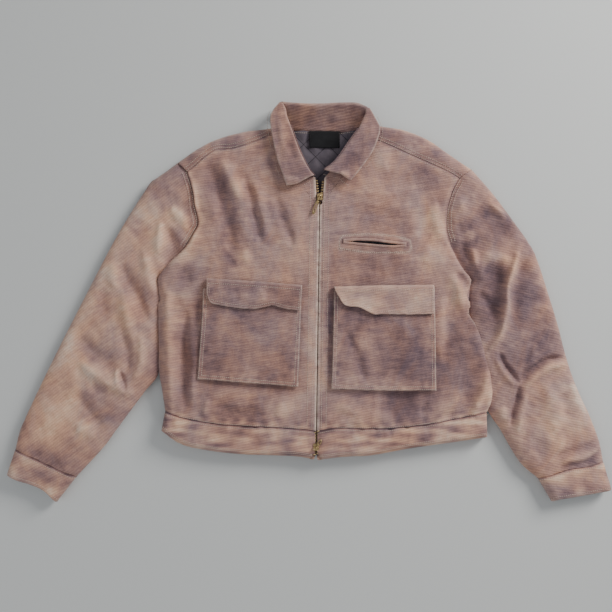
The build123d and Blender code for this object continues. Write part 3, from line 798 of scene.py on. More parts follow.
def band(side):
    waist, hem = WAIST[side], HEM[side]
    xy = coons([waist[0], hem[0]], [waist[-1], hem[-1]], waist, hem, 2.6)
    gap_hem = reach(xy, hem)
    gap_seam = reach(xy, waist)
    outer, inner = (0, -1) if side == "left" else (-1, 0)
    outside = reach(xy, [waist[outer], hem[outer]])
    ends = np.minimum(outside, reach(xy, [waist[inner], hem[inner]]))
    z = 26.0 - 1.8 * near(gap_seam, 4) - 2.0 * (1 - roll(ends, 3))
    z = z - np.maximum(11.5 * (1 - roll(gap_hem, 9)), 11.0 * (1 - roll(outside, 14)))
    z = z + puckers(xy, gap_seam, 16, 17, 1.5, 41) + puckers(xy, gap_hem, 14, 30, 0.8, 42)
    z = np.minimum(z + ripple(xy * np.array([1, 2.2]), 60, 43) * 0.9, under_slider(xy))
    # painted shade: a dark line in the seam at the band's top
    fade_and_shading = 0.25 + 1.4 * ripple(xy * np.array([0.5, 2.0]), 34, 44) - 0.8 * near(gap_seam, 2.2)
    wear_and_shade = 0.35 * near(gap_hem, 4) + 0.2 * near(ends, 3)
    return cloth(f"waistband_cloth_{side}", xy, z, z - 4.6, (CANVAS_BAND, CANVAS_BAND), fade_and_shading, wear_and_shade)


def back_band():
    waist = WAIST["left"][:-1] + [(0, -238)] + WAIST["right"][1:]
    hem = HEM["left"][:-2] + [(0, -284)] + HEM["right"][2:]
    xy = coons([waist[0], hem[0]], [waist[-1], hem[-1]], waist, hem, 4.0)
    gap = reach(xy, hem)
    low = 0.6 + 5.0 * (1 - roll(gap, 8)) + 0.2 * (1 + ripple(xy, 40, 45))
    return cloth("waistband_cloth_back", xy, low + 4.6, low, (CANVAS_BAND, CANVAS_BAND), 0 * low, 0 * low)


for side in ("left", "right"):
    pieces[f"yoke_{side}"] = yoke(side)
    pieces[f"band_{side}"] = band(side)
pieces["band_back"] = back_band()


# ---- sleeves and cuffs ---------------------------------------------------------------------------
def flat_tube(name, xy, up, low, inset, mats, fade_and_shading, wear_and_shade, turn):
    """A flattened tube: the upper sheet runs out, the lower one comes back."""
    def ring(points, high, base):
        top = np.concatenate([points, high[..., None]], -1)
        under = np.concatenate([points, base[..., None]], -1)[:, ::-1][:, 1:-1]
        return np.concatenate([top, under], 1)
    middle = (xy[:, :1] + xy[:, -1:]) / 2
    wide = np.linalg.norm(xy[:, -1:] - xy[:, :1], axis=-1, keepdims=True)
    inner_xy = middle + (xy - middle) * (1 - 2 * inset / wide)
    mid = (up + low) / 2
    inner_up = mid + np.maximum(up - mid - inset, 0.15)
    inner_low = mid - np.maximum(mid - low - inset, 0.15)
    both_fade_and_shading = np.concatenate([fade_and_shading, 0.6 * ripple(xy, 120, 52)[:, ::-1][:, 1:-1]], 1)
    both_wear = np.concatenate([wear_and_shade, 0 * wear_and_shade[:, ::-1][:, 1:-1]], 1)
    return tube(name, ring(xy, up, low), ring(inner_xy, inner_up, inner_low), mats, both_fade_and_shading, both_wear,
                turn)


def sleeve(side):
    out, inn, end = OUT[side], IN[side], CUFF_TOP[side]
    arm = [out[0]] + ARM[side]
    xy = coons(out, inn, arm, end)
    gap_out, gap_in, gap_cuff = reach(xy, out), reach(xy, inn), reach(xy, end)
    gap_arm, along_arm = away(xy, arm)
    rise, fade_and_shading = relief(xy, FOLDS_SLEEVE[side])
    round_side = roll(gap_out, 20) * roll(gap_in, 30)
    rise = rise + ripple(xy, 80, 51) * 1.4 + ripple(xy, 34, 53) * 0.9 + ripple(xy, 18, 56) * 0.3
    up = 11.6 + (12.2 + rise) * round_side + puckers(xy[..., ::-1], gap_cuff, 12, 22, 0.9, 54)
    up = up - 1.6 * near(gap_arm, 5) - 1.4 * near(gap_cuff, 4)
    up = up - 6.0 * near(gap_arm, 14) * np.clip((along_arm - 0.35) / 0.25, 0, 1)
    low = 11.6 - (10.4 - 0.5 * (1 + ripple(xy, 60, 55))) * round_side
    up = np.maximum(up, low + 1.0)
    wear_and_shade = 0.3 * near(gap_out, 5)
    lean = math.atan2(out[-1][0] - out[0][0], out[0][1] - out[-1][1])
    return flat_tube(f"sleeve_cloth_{side}", xy, up, low, 3.0, (CANVAS, LINING), fade_and_shading, wear_and_shade, lean)


def cuff(side):
    top, end = CUFF_TOP[side], CUFF_END[side]
    xy = coons([top[0], end[0]], [top[-1], end[-1]], top, end, 2.2)
    gap_out = reach(xy, [top[0], end[0]], [top[-1], end[-1]])
    gap_end = reach(xy, end)
    gap_top = reach(xy, top)
    side_round = roll(gap_out, 16)
    rise = ripple(xy, 44, 61) * 1.2 + puckers(xy, gap_top, 10, 18, 0.8, 62)
    up = 12.0 + (12.6 + rise) * side_round - 1.2 * near(gap_top, 3) - 2.2 * (1 - roll(gap_end, 3))
    low = 12.0 - 11.2 * side_round + 1.6 * (1 - roll(gap_end, 3))
    # painted shade: a dark line in the seam at the cuff's top, with a lighter band beside it
    fade_and_shading = 0.8 * ripple(xy, 40, 63) + 0.4 * near(gap_top - 5, 5) - 0.9 * near(gap_top, 2.2)
    wear_and_shade = 0.55 * near(gap_end, 3) + 0.2 * near(gap_out, 4)
    lean = math.atan2(end[0][0] - top[0][0], top[0][1] - end[0][1])
    return flat_tube(f"cuff_cloth_{side}", xy, up, low, 3.4, (CANVAS_BAND, LINING), fade_and_shading, wear_and_shade, lean)


for side in ("left", "right"):
    pieces[f"sleeve_{side}"] = sleeve(side)
    pieces[f"cuff_{side}"] = cuff(side)


# ---- swept strips and thread ---------------------------------------------------------------------
def normals(path):
    """Level unit vectors to the left of the path's direction."""
    d = np.gradient(path[:, :2], axis=0)
    d /= np.linalg.norm(d, axis=1, keepdims=True) + 1e-9
    return np.stack([-d[:, 1], d[:, 0]], 1)


def offset(path, by, step=3.0):
    """The path moved sideways, to its left for a positive distance."""
    p = smooth(path, max(int(length(path) / step), 4))
    return p + normals(p) * by


def sweep(name, path, profile, mats, wear_and_shade=0.0, fade_and_shading=0.0):
    """A closed section of (across, up) points carried along a path of points, closed at both ends."""
    path = np.array(path, float)
    section = np.array(profile, float)
    side = normals(path)
    m, n = len(section), len(path)
    co = np.zeros((n, m, 3))
    co[..., :2] = path[:, None, :2] + side[:, None] * section[None, :, :1]
    co[..., 2] = path[:, None, 2] + section[None, :, 1]
    return loft(name, co, mats, np.full((n, m), fade_and_shading), np.full((n, m), wear_and_shade))


def loft(name, rings, mats, fade_and_shading, wear_and_shade):
    """A closed body through rings of points (rings, points, 3)."""
    n, m = rings.shape[:2]
    i = np.arange(n * m).reshape(n, m)
    j = np.roll(i, -1, 1)
    faces = np.stack([i[:-1], i[1:], j[1:], j[:-1]], -1).reshape(-1, 4).tolist()
    faces += [i[0].tolist(), i[-1, ::-1].tolist()]
    marks = {"wear_and_shade": wear_and_shade.ravel(), "fade_and_shading": fade_and_shading.ravel()}
    return make_mesh(name, rings.reshape(-1, 3), faces, mats, marks=marks)


def stitches(name, bvh, paths, way, mat=None, pitch=3.8, run=2.7, thick=0.5, lift=0.15):
    """Rows of single stitches, each a short swollen bar of thread lying on the cloth."""
    co, faces = [], []
    for path in paths:
        p = np.array(path, float)
        total = float(np.linalg.norm(np.diff(p, axis=0), axis=1).sum())
        p = smooth(p, max(int(total / pitch) * 2 + 2, 4))
        starts, ends = on_top(bvh, p[:-1:2], lift), on_top(bvh, p[1::2], lift)
        for a, b in zip(starts, ends):
            d = b - a
            gap = np.linalg.norm(d) + 1e-9
            d = d / gap
            mid = (a + b) / 2
            side = np.cross(d, (0, 0, 1.0))
            side /= np.linalg.norm(side) + 1e-9
            up = np.cross(side, d)
            base = len(co)
            co.append(mid - d * run / 2 - up * thick * 0.6)
            for at in (-0.3, 0.3):
                for k in range(5):
                    turn = 2 * math.pi * k / 5
                    co.append(mid + d * run * at + (side * math.cos(turn) + up * math.sin(turn)) * thick)
            co.append(mid + d * run / 2 - up * thick * 0.6)
            for k in range(5):
                q = (k + 1) % 5
                faces.append((base, base + 1 + q, base + 1 + k))
                faces.append((base + 1 + k, base + 1 + q, base + 6 + q, base + 6 + k))
                faces.append((base + 6 + k, base + 6 + q, base + 11))
    n = len(co)
    obj = make_mesh(name, np.array(co), faces, (mat or THREAD,),
                    marks={"wear_and_shade": np.zeros(n), "fade_and_shading": np.zeros(n)})
    return attach(obj, way)


# ---- bellows pockets and flaps ---------------------------------------------------------------------
POCKET_EDGES = {
    "left": [(-214, 22), (-216, -50), (-220.5, -146), (-127, -152), (-34.5, -157.5), (-32, -60), (-30.5, 22)],
    "right": [(28.5, 24), (27.5, -60), (26, -160.5), (120, -162), (219.5, -160.5), (218, -60), (216, 26)],
}
POCKET_FOLDS = {
    "left": [([(-200, -30), (-120, -90), (-60, -130)], 26, 0.5, 0.35),
             ([(-190, 0), (-120, -8)], 15, -0.6, -0.6),
             ([(-70, -20), (-90, -120)], 20, 0.5, 0.2), ([(-212, -20), (-214, -130)], 8, 0.2, -0.2),
             ([(-120, -100), (-60, -90)], 20, -0.4, -0.25), ([(-180, -120), (-120, -130)], 18, 0.4, 0.3)],
    "right": [([(48, -50), (70, -90), (88, -150)], 8, -1.6, -1.0), ([(70, -50), (95, -90)], 14, 0.8, 0.4),
              ([(130, -60), (190, -80)], 30, 0.4, -0.25), ([(40, -30), (60, -60)], 14, 0.4, 0.2),
              ([(150, -110), (205, -110)], 24, 0.3, -0.3), ([(110, -30), (150, -40)], 22, -0.3, 0.2),
              ([(40, -140), (200, -150)], 10, 0.0, 0.25), ([(180, -20), (200, -60)], 16, 0.4, 0.35)],
}


def pocket(side):
    p = POCKET_EDGES[side]
    xy = coons(p[:3], p[:-4:-1], [p[0], p[-1]], p[2:5], 2.4)
    gap = reach(xy, p[:3], p[2:5], p[4:])
    mouth = reach(xy, [p[0], p[-1]])
    up, fade_and_shading = relief(xy, POCKET_FOLDS[side])
    calm = np.clip(gap / 22, 0, 1)
    z = 32.2 + (up + 0.9 * ripple(xy, 70, 71) + 0.4 * ripple(xy, 30, 72)) * calm * np.clip(mouth / 40, 0.2, 1)
    z = z - 1.7 * (1 - roll(gap, 2.6)) - 0.55 * near(gap - 8, 1.6)
    z = z + puckers(xy, gap, 16, 14, 0.5, 73)
    wear_and_shade = 0.75 * near(gap, 1.9) + 0.3 * near(mouth, 2.2)
    fade_and_shading = fade_and_shading + 0.25 * near(gap, 12) + 0.7 * near(gap, 15) * ripple(xy, 17, 75)
    return cloth(f"pocket_cloth_{side}", xy, z, z - 1.7, (CANVAS_DARK, CANVAS_DARK), fade_and_shading, wear_and_shade)


def gusset(side):
    """The bellows strip that joins the pocket front to the jacket: down, across and up, folded inward."""
    p = POCKET_EDGES[side]
    runs = []
    for a, b in zip(p[:-1], p[1:]):
        a, b = np.array(a, float), np.array(b, float)
        count = max(int(np.linalg.norm(b - a) / 5), 2)
        runs.append(a + (b - a) * np.linspace(0, 1, count, endpoint=False)[:, None])
    path = np.vstack(runs + [np.array(p[-1:], float)])
    for _ in range(4):
        path[1:-1] = (path[:-2] + path[1:-1] * 2 + path[2:]) / 4
    path = np.column_stack([path, np.full(len(path), 26.0)])
    section = [(0.6, -1.4), (3.0, 1.6), (2.6, 2.6), (0.2, 5.0), (1.4, 5.2), (4.2, 2.6), (4.4, 1.6),
               (2.0, -1.4)]
    # painted shade: the bellows strip is drawn darker, for the shade along the pocket's sides
    return sweep(f"pocket_bellows_{side}", path, section, (CANVAS_DARK,), fade_and_shading=-0.5)


FLAP_EDGES = {
    "left": ([(-207, 41), (-120, 37), (-30, 31)],
             [(-206, 12), (-199, -4), (-186, -8), (-156, -13), (-120, -15), (-92, -10), (-84, -8), (-60, -14),
              (-33, -17)]),
    "right": ([(29, 29), (120, 33), (214, 35)],
              [(31, 21), (38, 9), (47, -4), (58, -8), (74, -9), (92, -17), (104, -22), (124, -21), (172, -21),
               (214, -19)]),
}
FLAP_FOLDS = {
    "left": [([(-200, 30), (-120, 26), (-40, 20)], 6, -0.5, -0.1),
             ([(-190, 14), (-130, 4), (-60, -2)], 8, 0.9, 0.4),
             ([(-150, 26), (-150, -4)], 6, -0.7, -0.6), ([(-110, 30), (-100, 0)], 7, 0.8, 0.3),
             ([(-202, 24), (-196, 8)], 6, -1.4, -0.9)],
    "right": [([(36, 24), (80, 22), (150, 24)], 7, 0.5, 0.25), ([(50, 8), (90, 0), (130, -4)], 7, 0.8, 0.45),
              ([(140, 20), (140, -14)], 14, -0.5, -0.2), ([(180, 20), (200, -10)], 16, 0.5, 0.3),
              ([(60, 14), (110, 12)], 5, -0.6, -0.3)],
}


def flap(side):
    sewn, low_edge = FLAP_EDGES[side]
    xy = coons([sewn[0], low_edge[0]], [sewn[-1], low_edge[-1]], sewn, low_edge, 1.8)
    from_seam = reach(xy, sewn)
    from_edge, along = away(xy, low_edge)
    ends = reach(xy, [sewn[0], low_edge[0]], [sewn[-1], low_edge[-1]])
    up, fade_and_shading = relief(xy, FLAP_FOLDS[side])
    calm = np.clip(from_seam / 12, 0, 1)
    z = 28.9 + 7.9 * roll(from_seam, 6.0) + (up + 0.5 * ripple(xy, 40, 81)) * calm
    z = z - 0.8 * (1 - roll(np.minimum(from_edge, ends), 2.0)) + 0.7 * ripple(xy, 18, 82) * near(from_edge, 6)
    if side == "right":
        curled = near(along - 0.28, 0.22)
        z = z + 3.2 * curled * near(from_edge, 7)
        # painted highlight: the raised, curled part of the flap's edge is drawn lighter
        fade_and_shading = fade_and_shading + 0.5 * curled * near(from_edge, 12)
    z = np.maximum(z, 36.6 * np.clip(from_seam / 9, 0, 1))
    wear_and_shade = 0.8 * near(np.minimum(from_edge, ends), 1.7) + 0.3 * near(from_seam - 1, 2.2)
    mat = CANVAS_DARK if side == "left" else CANVAS_LIGHT
    return cloth(f"flap_cloth_{side}", xy, z, z - 1.5, (mat, CANVAS_DARK), fade_and_shading, wear_and_shade)


def patch(name, x, y, low, high, mats):
    """A square of hook or loop tape with softened corners."""
    turn = np.linspace(0, 2 * math.pi, 49)[:-1]
    c, s = np.cos(turn), np.sin(turn)
    radius = 10 / np.maximum(np.abs(c), np.abs(s)) ** 0.86
    rim = np.stack([x + radius * c, y + radius * s], 1)
    rings = []
    for scale, z in ((0.97, low), (1.0, low + 0.25), (1.0, high - 0.3), (0.95, high)):
        level = np.full((len(rim), 1), float(z))
        rings.append(np.hstack([(rim - (x, y)) * scale + (x, y), level]))
    rings = np.array(rings)
    zero = np.zeros(rings.shape[:2])
    return loft(name, rings, mats, zero, zero)


PATCH_AT = {"left": (-118, 2), "right": (142, 2)}
for side in ("left", "right"):
    pieces[f"pocket_{side}"] = pocket(side)
    pieces[f"bellows_{side}"] = gusset(side)
    pieces[f"flap_{side}"] = flap(side)
    pieces[f"loop_{side}"] = patch(f"loop_patch_{side}", *PATCH_AT[side], 32.6, 34.0, (HOOKS,))
    pieces[f"hook_{side}"] = patch(f"hook_patch_{side}", *PATCH_AT[side], 34.2, 35.4, (HOOKS,))


# ---- collar --------------------------------------------------------------------------------------
COLLAR_FOLDS = {
    "left": [([(-80, 340), (-70, 300), (-60, 260)], 8, 0.8, 0.2), ([(-60, 300), (-46, 262)], 7, -0.8, -0.5),
             ([(-64, 224), (-40, 228)], 5, 0.8, 0.4), ([(-84, 330), (-78, 280)], 6, -0.5, -0.3)],
    "right": [([(96, 340), (92, 300), (76, 262)], 8, 0.9, 0.2), ([(66, 280), (50, 256)], 8, -0.8, -0.4),
              ([(56, 232), (36, 242)], 6, 1.4, 0.9), ([(98, 310), (84, 280)], 6, -0.6, -0.3)],
}


def leaf(side):
    """A collar leaf with the stand it turns down from."""
    fold, outer, tip = FOLD[side], LEAF[side], LEAF_END[side]
    xy = coons(fold, outer, [fold[0], outer[0]], tip, 1.9)
    from_fold, along = away(xy, fold)
    rim = reach(xy, outer, tip)
    up, fade_and_shading = relief(xy, COLLAR_FOLDS[side])
    crown = 40.3 - 8.5 * np.clip(1 - along / 0.28, 0, 1) ** 1.3
    calm = np.clip(from_fold / 10, 0, 1)
    z = crown - 2.6 * (1 - roll(from_fold, 5)) + 0.4 + (up + 0.6 * ripple(xy, 34, 91)) * calm
    z = z - 0.05 * np.clip(from_fold - 12, 0, 40) - 1.0 * (1 - roll(rim, 2))
    if side == "right":
        z = z + 4.5 * near(np.linalg.norm(xy - np.array([54, 228]), axis=-1), 13)
    wear_and_shade = 0.75 * near(rim, 1.8) + 0.35 * near(from_fold, 1.8)
    flat = cloth(f"collar_cloth_{side}", xy, z, z - 2.0, (CANVAS_DARK, CANVAS_DARK), fade_and_shading, wear_and_shade)
    line = xy[:, 0]
    top = crown[:, 0] - 2.2
    inside = normals(line) * -TOWARD[side]
    outer_face = np.stack([
        np.column_stack([line + inside * (0.3 + 1.4 * share), top - share * (top - 25.6)])
        for share in (0.0, 0.33, 0.66, 1.0)], 1)
    inner_face = outer_face + np.concatenate([inside * 1.6, 0 * inside[:, :1]], 1)[:, None]
    rings = np.concatenate([outer_face, inner_face[:, ::-1]], 1)[along[:, 0] > 0.3]
    zero = np.zeros(rings.shape[:2])
    stand = loft(f"collar_stand_cloth_{side}", rings, (CANVAS_DARK,), zero - 0.4, zero)
    return flat, stand


def collar_back():
    count = 46
    neck = smooth([(-60, 331), (-24, 329), (10, 328), (48, 329), (75, 332)], count)
    top = smooth([(-74, 376), (-52, 374), (-20, 373), (14, 374), (50, 376), (70, 375), (88, 368)], count)
    section = smooth([(0.0, 6.6), (0.12, 7.4), (0.32, 11.5), (0.55, 18), (0.76, 25), (0.92, 30.2),
                      (1.0, 31.0),
                      (1.05, 28), (1.05, 18), (1.03, 8), (0.99, 2.2), (0.9, 0.9), (0.6, 0.8), (0.25, 0.9),
                      (0.03, 2.0),
                      (-0.01, 4.4)], 44)
    rings = np.zeros((count, len(section), 3))
    rings[..., :2] = neck[:, None] + (top - neck)[:, None] * section[None, :, :1]
    rings[..., 2] = section[None, :, 1]
    bumps = ripple(rings[..., :2], 42, 92) * np.clip((rings[..., 2] - 6) / 10, 0, 1)
    rings[..., 2] += bumps * 0.9
    gap = np.abs(section[None, :, 0] - 1.0) * 40
    wear_and_shade = np.repeat(0.35 * near(gap, 2.0), count, 0)
    fade_and_shading = ripple(rings[..., :2], 30, 93) * 0.4 + 0.1
    return loft("collar_back_cloth", rings, (CANVAS_DARK,), fade_and_shading, wear_and_shade)


def label():
    top, bottom = [(-22, 329), (37, 329)], [(-20, 297), (37, 297)]
    xy = coons([top[0], bottom[0]], [top[1], bottom[1]], top, bottom, 1.5)
    gap = reach(xy, top, bottom)
    v = np.linspace(0, 1, len(xy))[:, None]
    z = 8.1 + 0.35 * ripple(xy, 40, 94) + 0.7 * (1 - v) - 0.3 * (1 - roll(gap, 2.5))
    return cloth("neck_label_cloth", xy, z, z - 0.7, (LABEL, LABEL), 0 * z, 0 * z)


for side in ("left", "right"):
    pieces[f"leaf_{side}"], pieces[f"stand_{side}"] = leaf(side)
pieces["collar_back"] = collar_back()
pieces["label"] = label()


# ---- zip ------------------------------------------------------------------------------------------
ZIP_LOW = -281.0      # first tooth, below the bottom slider
ZIP_HIGH = 230.0      # last tooth, at the open neck
PITCH = 5.0
TAPE_WIDE = 12.5
TOP_SLIDER_Y = 198.0
LOW_SLIDER_Y = -267.0
PIN_Z = 29.2          # the pin each pull swings on


def spread(y):
    """How far each row of teeth stands from the zip line: closed, or parted at the neck."""
    return 3.6 * min(max((y - TOP_SLIDER_Y) / 32.0, 0.0), 1.0)


def tooth(co, faces, x, y, toward):
    """A cast tooth: a rounded head towards the middle, and jaws on the tape."""
    plan = [(-4.4, -1.15), (-1.6, -1.25), (0.4, -0.95), (1.0, -0.35), (1.0, 0.35), (0.4, 0.95), (-1.6, 1.25),
            (-4.4, 1.15)]
    base = len(co)
    m = len(plan)
    for up, grow in ((20.9, 0.86), (21.3, 1.0), (23.7, 1.0), (24.1, 0.86)):
        for a, b in plan:
            co.append((x + toward * ((a + 1.7) * grow - 1.7), y + b * grow, up))
    for ring in range(3):
        for k in range(m):
            q = (k + 1) % m
            face = (base + ring * m + k, base + ring * m + q, base + ring * m + m + q,
                    base + ring * m + m + k)
            faces.append(face if toward > 0 else face[::-1])
    ends = (tuple(range(base + m - 1, base - 1, -1)), tuple(range(base + 3 * m, base + 4 * m)))
    faces.extend(e if toward > 0 else e[::-1] for e in ends)


def teeth(side):
    co, faces = [], []
    toward = -TOWARD[side]
    y = ZIP_LOW + (0.0 if side == "left" else PITCH / 2)
    while y < ZIP_HIGH:
        if abs(y - TOP_SLIDER_Y) > 6.5 and abs(y - LOW_SLIDER_Y) > 6.5:
            tooth(co, faces, -toward * (spread(y) + 1.35), y, toward)
        y += PITCH
    obj = make_mesh(f"zip_row_{side}", np.array(co), faces, (BRASS,))
    return obj


def tape(side):
    """The woven tape each row is fixed to, with its corded inner edge."""
    s = TOWARD[side]
    ys = np.linspace(-284, 231, 104)
    inner = np.array([s * (2.0 + spread(y)) for y in ys])
    path = np.column_stack([inner, ys, np.full(len(ys), 22.5)])
    section = [(0, -0.9), (-s, -0.55), (-s * 1.6, -0.45), (-s * TAPE_WIDE, -0.4), (-s * TAPE_WIDE, 0.4),
               (-s * 1.6, 0.45), (-s, 0.55), (0, 0.9), (s * 0.7, 0.5), (s * 0.7, -0.5)]
    keep = path[path[:, 1] > -229]
    obj = sweep(f"zip_tape_cloth_{side}", keep, section if s < 0 else section[::-1], (TAPE,))
    tail = path[path[:, 1] <= -224]
    section = [(0, -0.9), (-s * 2.6, -0.4), (-s * 2.6, 0.4), (0, 0.9), (s * 0.7, 0.4), (s * 0.7, -0.4)]
    end = sweep(f"zip_tail_{side}", tail, section if s < 0 else section[::-1], (TAPE,))
    return join(f"zip_tape_cloth_{side}", [obj, end])


def solid(name, outline, low, high, soften, hole=None):
    """A plate with rounded edges, and a hole where one is given with as many points as its outline."""
    rim = np.array(outline, float)
    m = len(rim)
    co = [(x, y, z) for z in (low, high) for x, y in rim]
    faces = [(k, (k + 1) % m, m + (k + 1) % m, m + k) for k in range(m)]
    if hole is None:
        faces += [tuple(range(m - 1, -1, -1)), tuple(range(m, 2 * m))]
    else:
        co += [(x, y, z) for z in (low, high) for x, y in hole]
        for k in range(m):
            q = (k + 1) % m
            faces.append((2 * m + k, 3 * m + k, 3 * m + q, 2 * m + q))
            faces.append((m + k, m + q, 3 * m + q, 3 * m + k))
            faces.append((k, 2 * m + k, 2 * m + q, q))
    obj = make_mesh(name, co, faces, (BRASS,))
    bevel = obj.modifiers.new("soft edge", "BEVEL")
    bevel.width = soften * MM
    bevel.segments = 3
    bevel.angle_limit = math.radians(40)
    return applied(obj)


def applied(obj):
    """Turn an object's modifiers into its mesh."""
    bpy.context.view_layer.update()
    mesh = bpy.data.meshes.new_from_object(obj.evaluated_get(bpy.context.evaluated_depsgraph_get()))
    obj.modifiers.clear()
    obj.data = mesh
    mesh.polygons.foreach_set("use_smooth", [True] * len(mesh.polygons))
    return obj


def ellipse(x, y, a, b, count, power=1.0):
    t = np.linspace(0, 2 * math.pi, count + 1)[:-1] - math.pi * 0.75
    c, s = np.cos(t), np.sin(t)
    return np.stack([x + a * np.sign(c) * np.abs(c) ** power, y + b * np.sign(s) * np.abs(s) ** power], 1)


def bar(name, y, reaches, radius, count):
    """A round bar across the zip line, through the pull's eye."""
    path = [(-reaches, y, PIN_Z), (0, y, PIN_Z), (reaches, y, PIN_Z)]
    turns = np.linspace(0, 2 * math.pi, count + 1)[:-1]
    return sweep(name, path, [(radius * math.cos(a), radius * math.sin(a)) for a in turns], (BRASS,))


def slider(name, y, up):
    """A zip slider: two waisted plates round the teeth, the post between them and the pull's bridge."""
    body = [(-5.6, -5.8), (-3.0, -6.5), (3.0, -6.5), (5.6, -5.8), (4.7, -1.0), (5.5, 3.6), (4.4, 5.9),
            (1.8, 6.6),
            (-1.8, 6.6), (-4.4, 5.9), (-5.5, 3.6), (-4.7, -1.0)]
    plan = [(x, y + up * v) for x, v in (body if up > 0 else body[::-1])]
    parts = [solid(name, plan, 25.15, 26.95, 0.55), solid("low", plan, 18.1, 19.6, 0.45)]
    post = [(-0.2, y + up * 3.0), (0.2, y + up * 3.0), (0.25, y + up * 6.0), (-0.25, y + up * 6.0)]
    parts.append(solid("post", post if up > 0 else post[::-1], 19.2, 25.4, 0.05))
    for x in (-3.4, 3.4):
        ear = [(x - 0.8, y + up - 2.1), (x + 0.8, y + up - 2.1), (x + 0.8, y + up + 2.1),
               (x - 0.8, y + up + 2.1)]
        parts.append(solid("ear", ear, 26.4, 30.9, 0.6))
    parts.append(bar("pin", y + up, 4.2, 0.75, 12))
    return join(name, parts)


def puller(name, y, up, lean, long):
    """The pull: an eye round the pin, a narrow neck and a tab with a slot at its free end."""
    at = y + up
    count = 28
    tab = ellipse(0, 0, 3.1, long * 0.36, count, 0.55)
    slot_hole = ellipse(0, 0, 1.35, long * 0.22, count, 0.6)
    far = np.array([lean * 0.66, -long * 0.62])
    angle = math.atan2(lean, long)
    c, s = math.cos(angle), math.sin(angle)
    turn = np.array([[c, s], [-s, c]])

    def laid(points):
        moved = np.array(points) @ turn + far
        return [(x, at + v) if up > 0 else (-x, at - v) for x, v in moved]

    parts = [solid(name, laid(tab), 28.2, 30.2, 0.4, laid(slot_hole))]
    neck = [(-1.3, long * 0.26), (1.3, long * 0.26), (1.3, long * 0.60), (-1.3, long * 0.60)]
    parts.append(solid("neck", laid(neck), 28.5, 29.9, 0.4))
    parts.append(bar("eye", at, 2.1, 1.95, 16))
    return join(name, parts)


metal = {
    "zip_slider_top": slider("slider_body_top", TOP_SLIDER_Y, 1),
    "zip_slider_bottom": slider("slider_body_bottom", LOW_SLIDER_Y, -1),
    "zip_pull_top": puller("pull_tab_top", TOP_SLIDER_Y, 1, -12, 36),
    "zip_pull_bottom": puller("pull_tab_bottom", LOW_SLIDER_Y, -1, -9, 16),
}
BODY_OF = {"zip_slider_top": "slider_top_part", "zip_slider_bottom": "slider_bottom_part",
           "zip_pull_top": "pull_top_part", "zip_pull_bottom": "pull_bottom_part"}
for node, obj in metal.items():
    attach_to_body(obj, BODY_OF[node])
    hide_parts(node)


# ---- chest pocket -------------------------------------------------------------------------------
def welt():
    """Two piped lips round the slit and the stitched frame they are set in."""
    lips = []
    for name, line, lean in (("upper", SLIT_UP, 1), ("lower", SLIT_LOW, -1)):
        p = smooth(line, 50)
        z = on_top(front_tree["right"], p + np.array([0, lean * 2.4]))[:, 2]
        path = np.column_stack([p, z])
        section = [(0.3, -2.6), (-0.9, -0.6), (-0.6, 0.9), (0.7, 1.5), (2.4, 1.3), (4.2, 0.5), (4.6, -0.6),
                   (4.2, -1.6)]
        if lean < 0:
            section = [(-a, b) for a, b in section][::-1]
        lips.append(sweep(f"chest_lip_{name}", path, section, (CANVAS,), wear_and_shade=0.18, fade_and_shading=0.1))
    return join("chest_lips", lips)


def chest_bag():
    """The pocket bag behind the slit: two layers of lining cloth joined round the edge."""
    a, b, c, d = (43, 118), (43, 32), (166, 32), (166, 118)
    xy = coons([a, b], [d, c], [a, d], [b, c], 3)
    gap = reach(xy, [a, b, c, d], [a, d])
    low = 14.0 + 2.4 * (1 - roll(gap, 8)) + 0.4 * ripple(xy, 40, 95)
    return cloth("chest_bag_cloth", xy, low + 0.8, low, (LINING, LINING), 0 * low, 0 * low + 0.15)


front_tree = {side: tree(pieces[f"front_{side}"]) for side in ("left", "right")}
pieces["chest_lips"] = welt()
pieces["chest_bag"] = chest_bag()


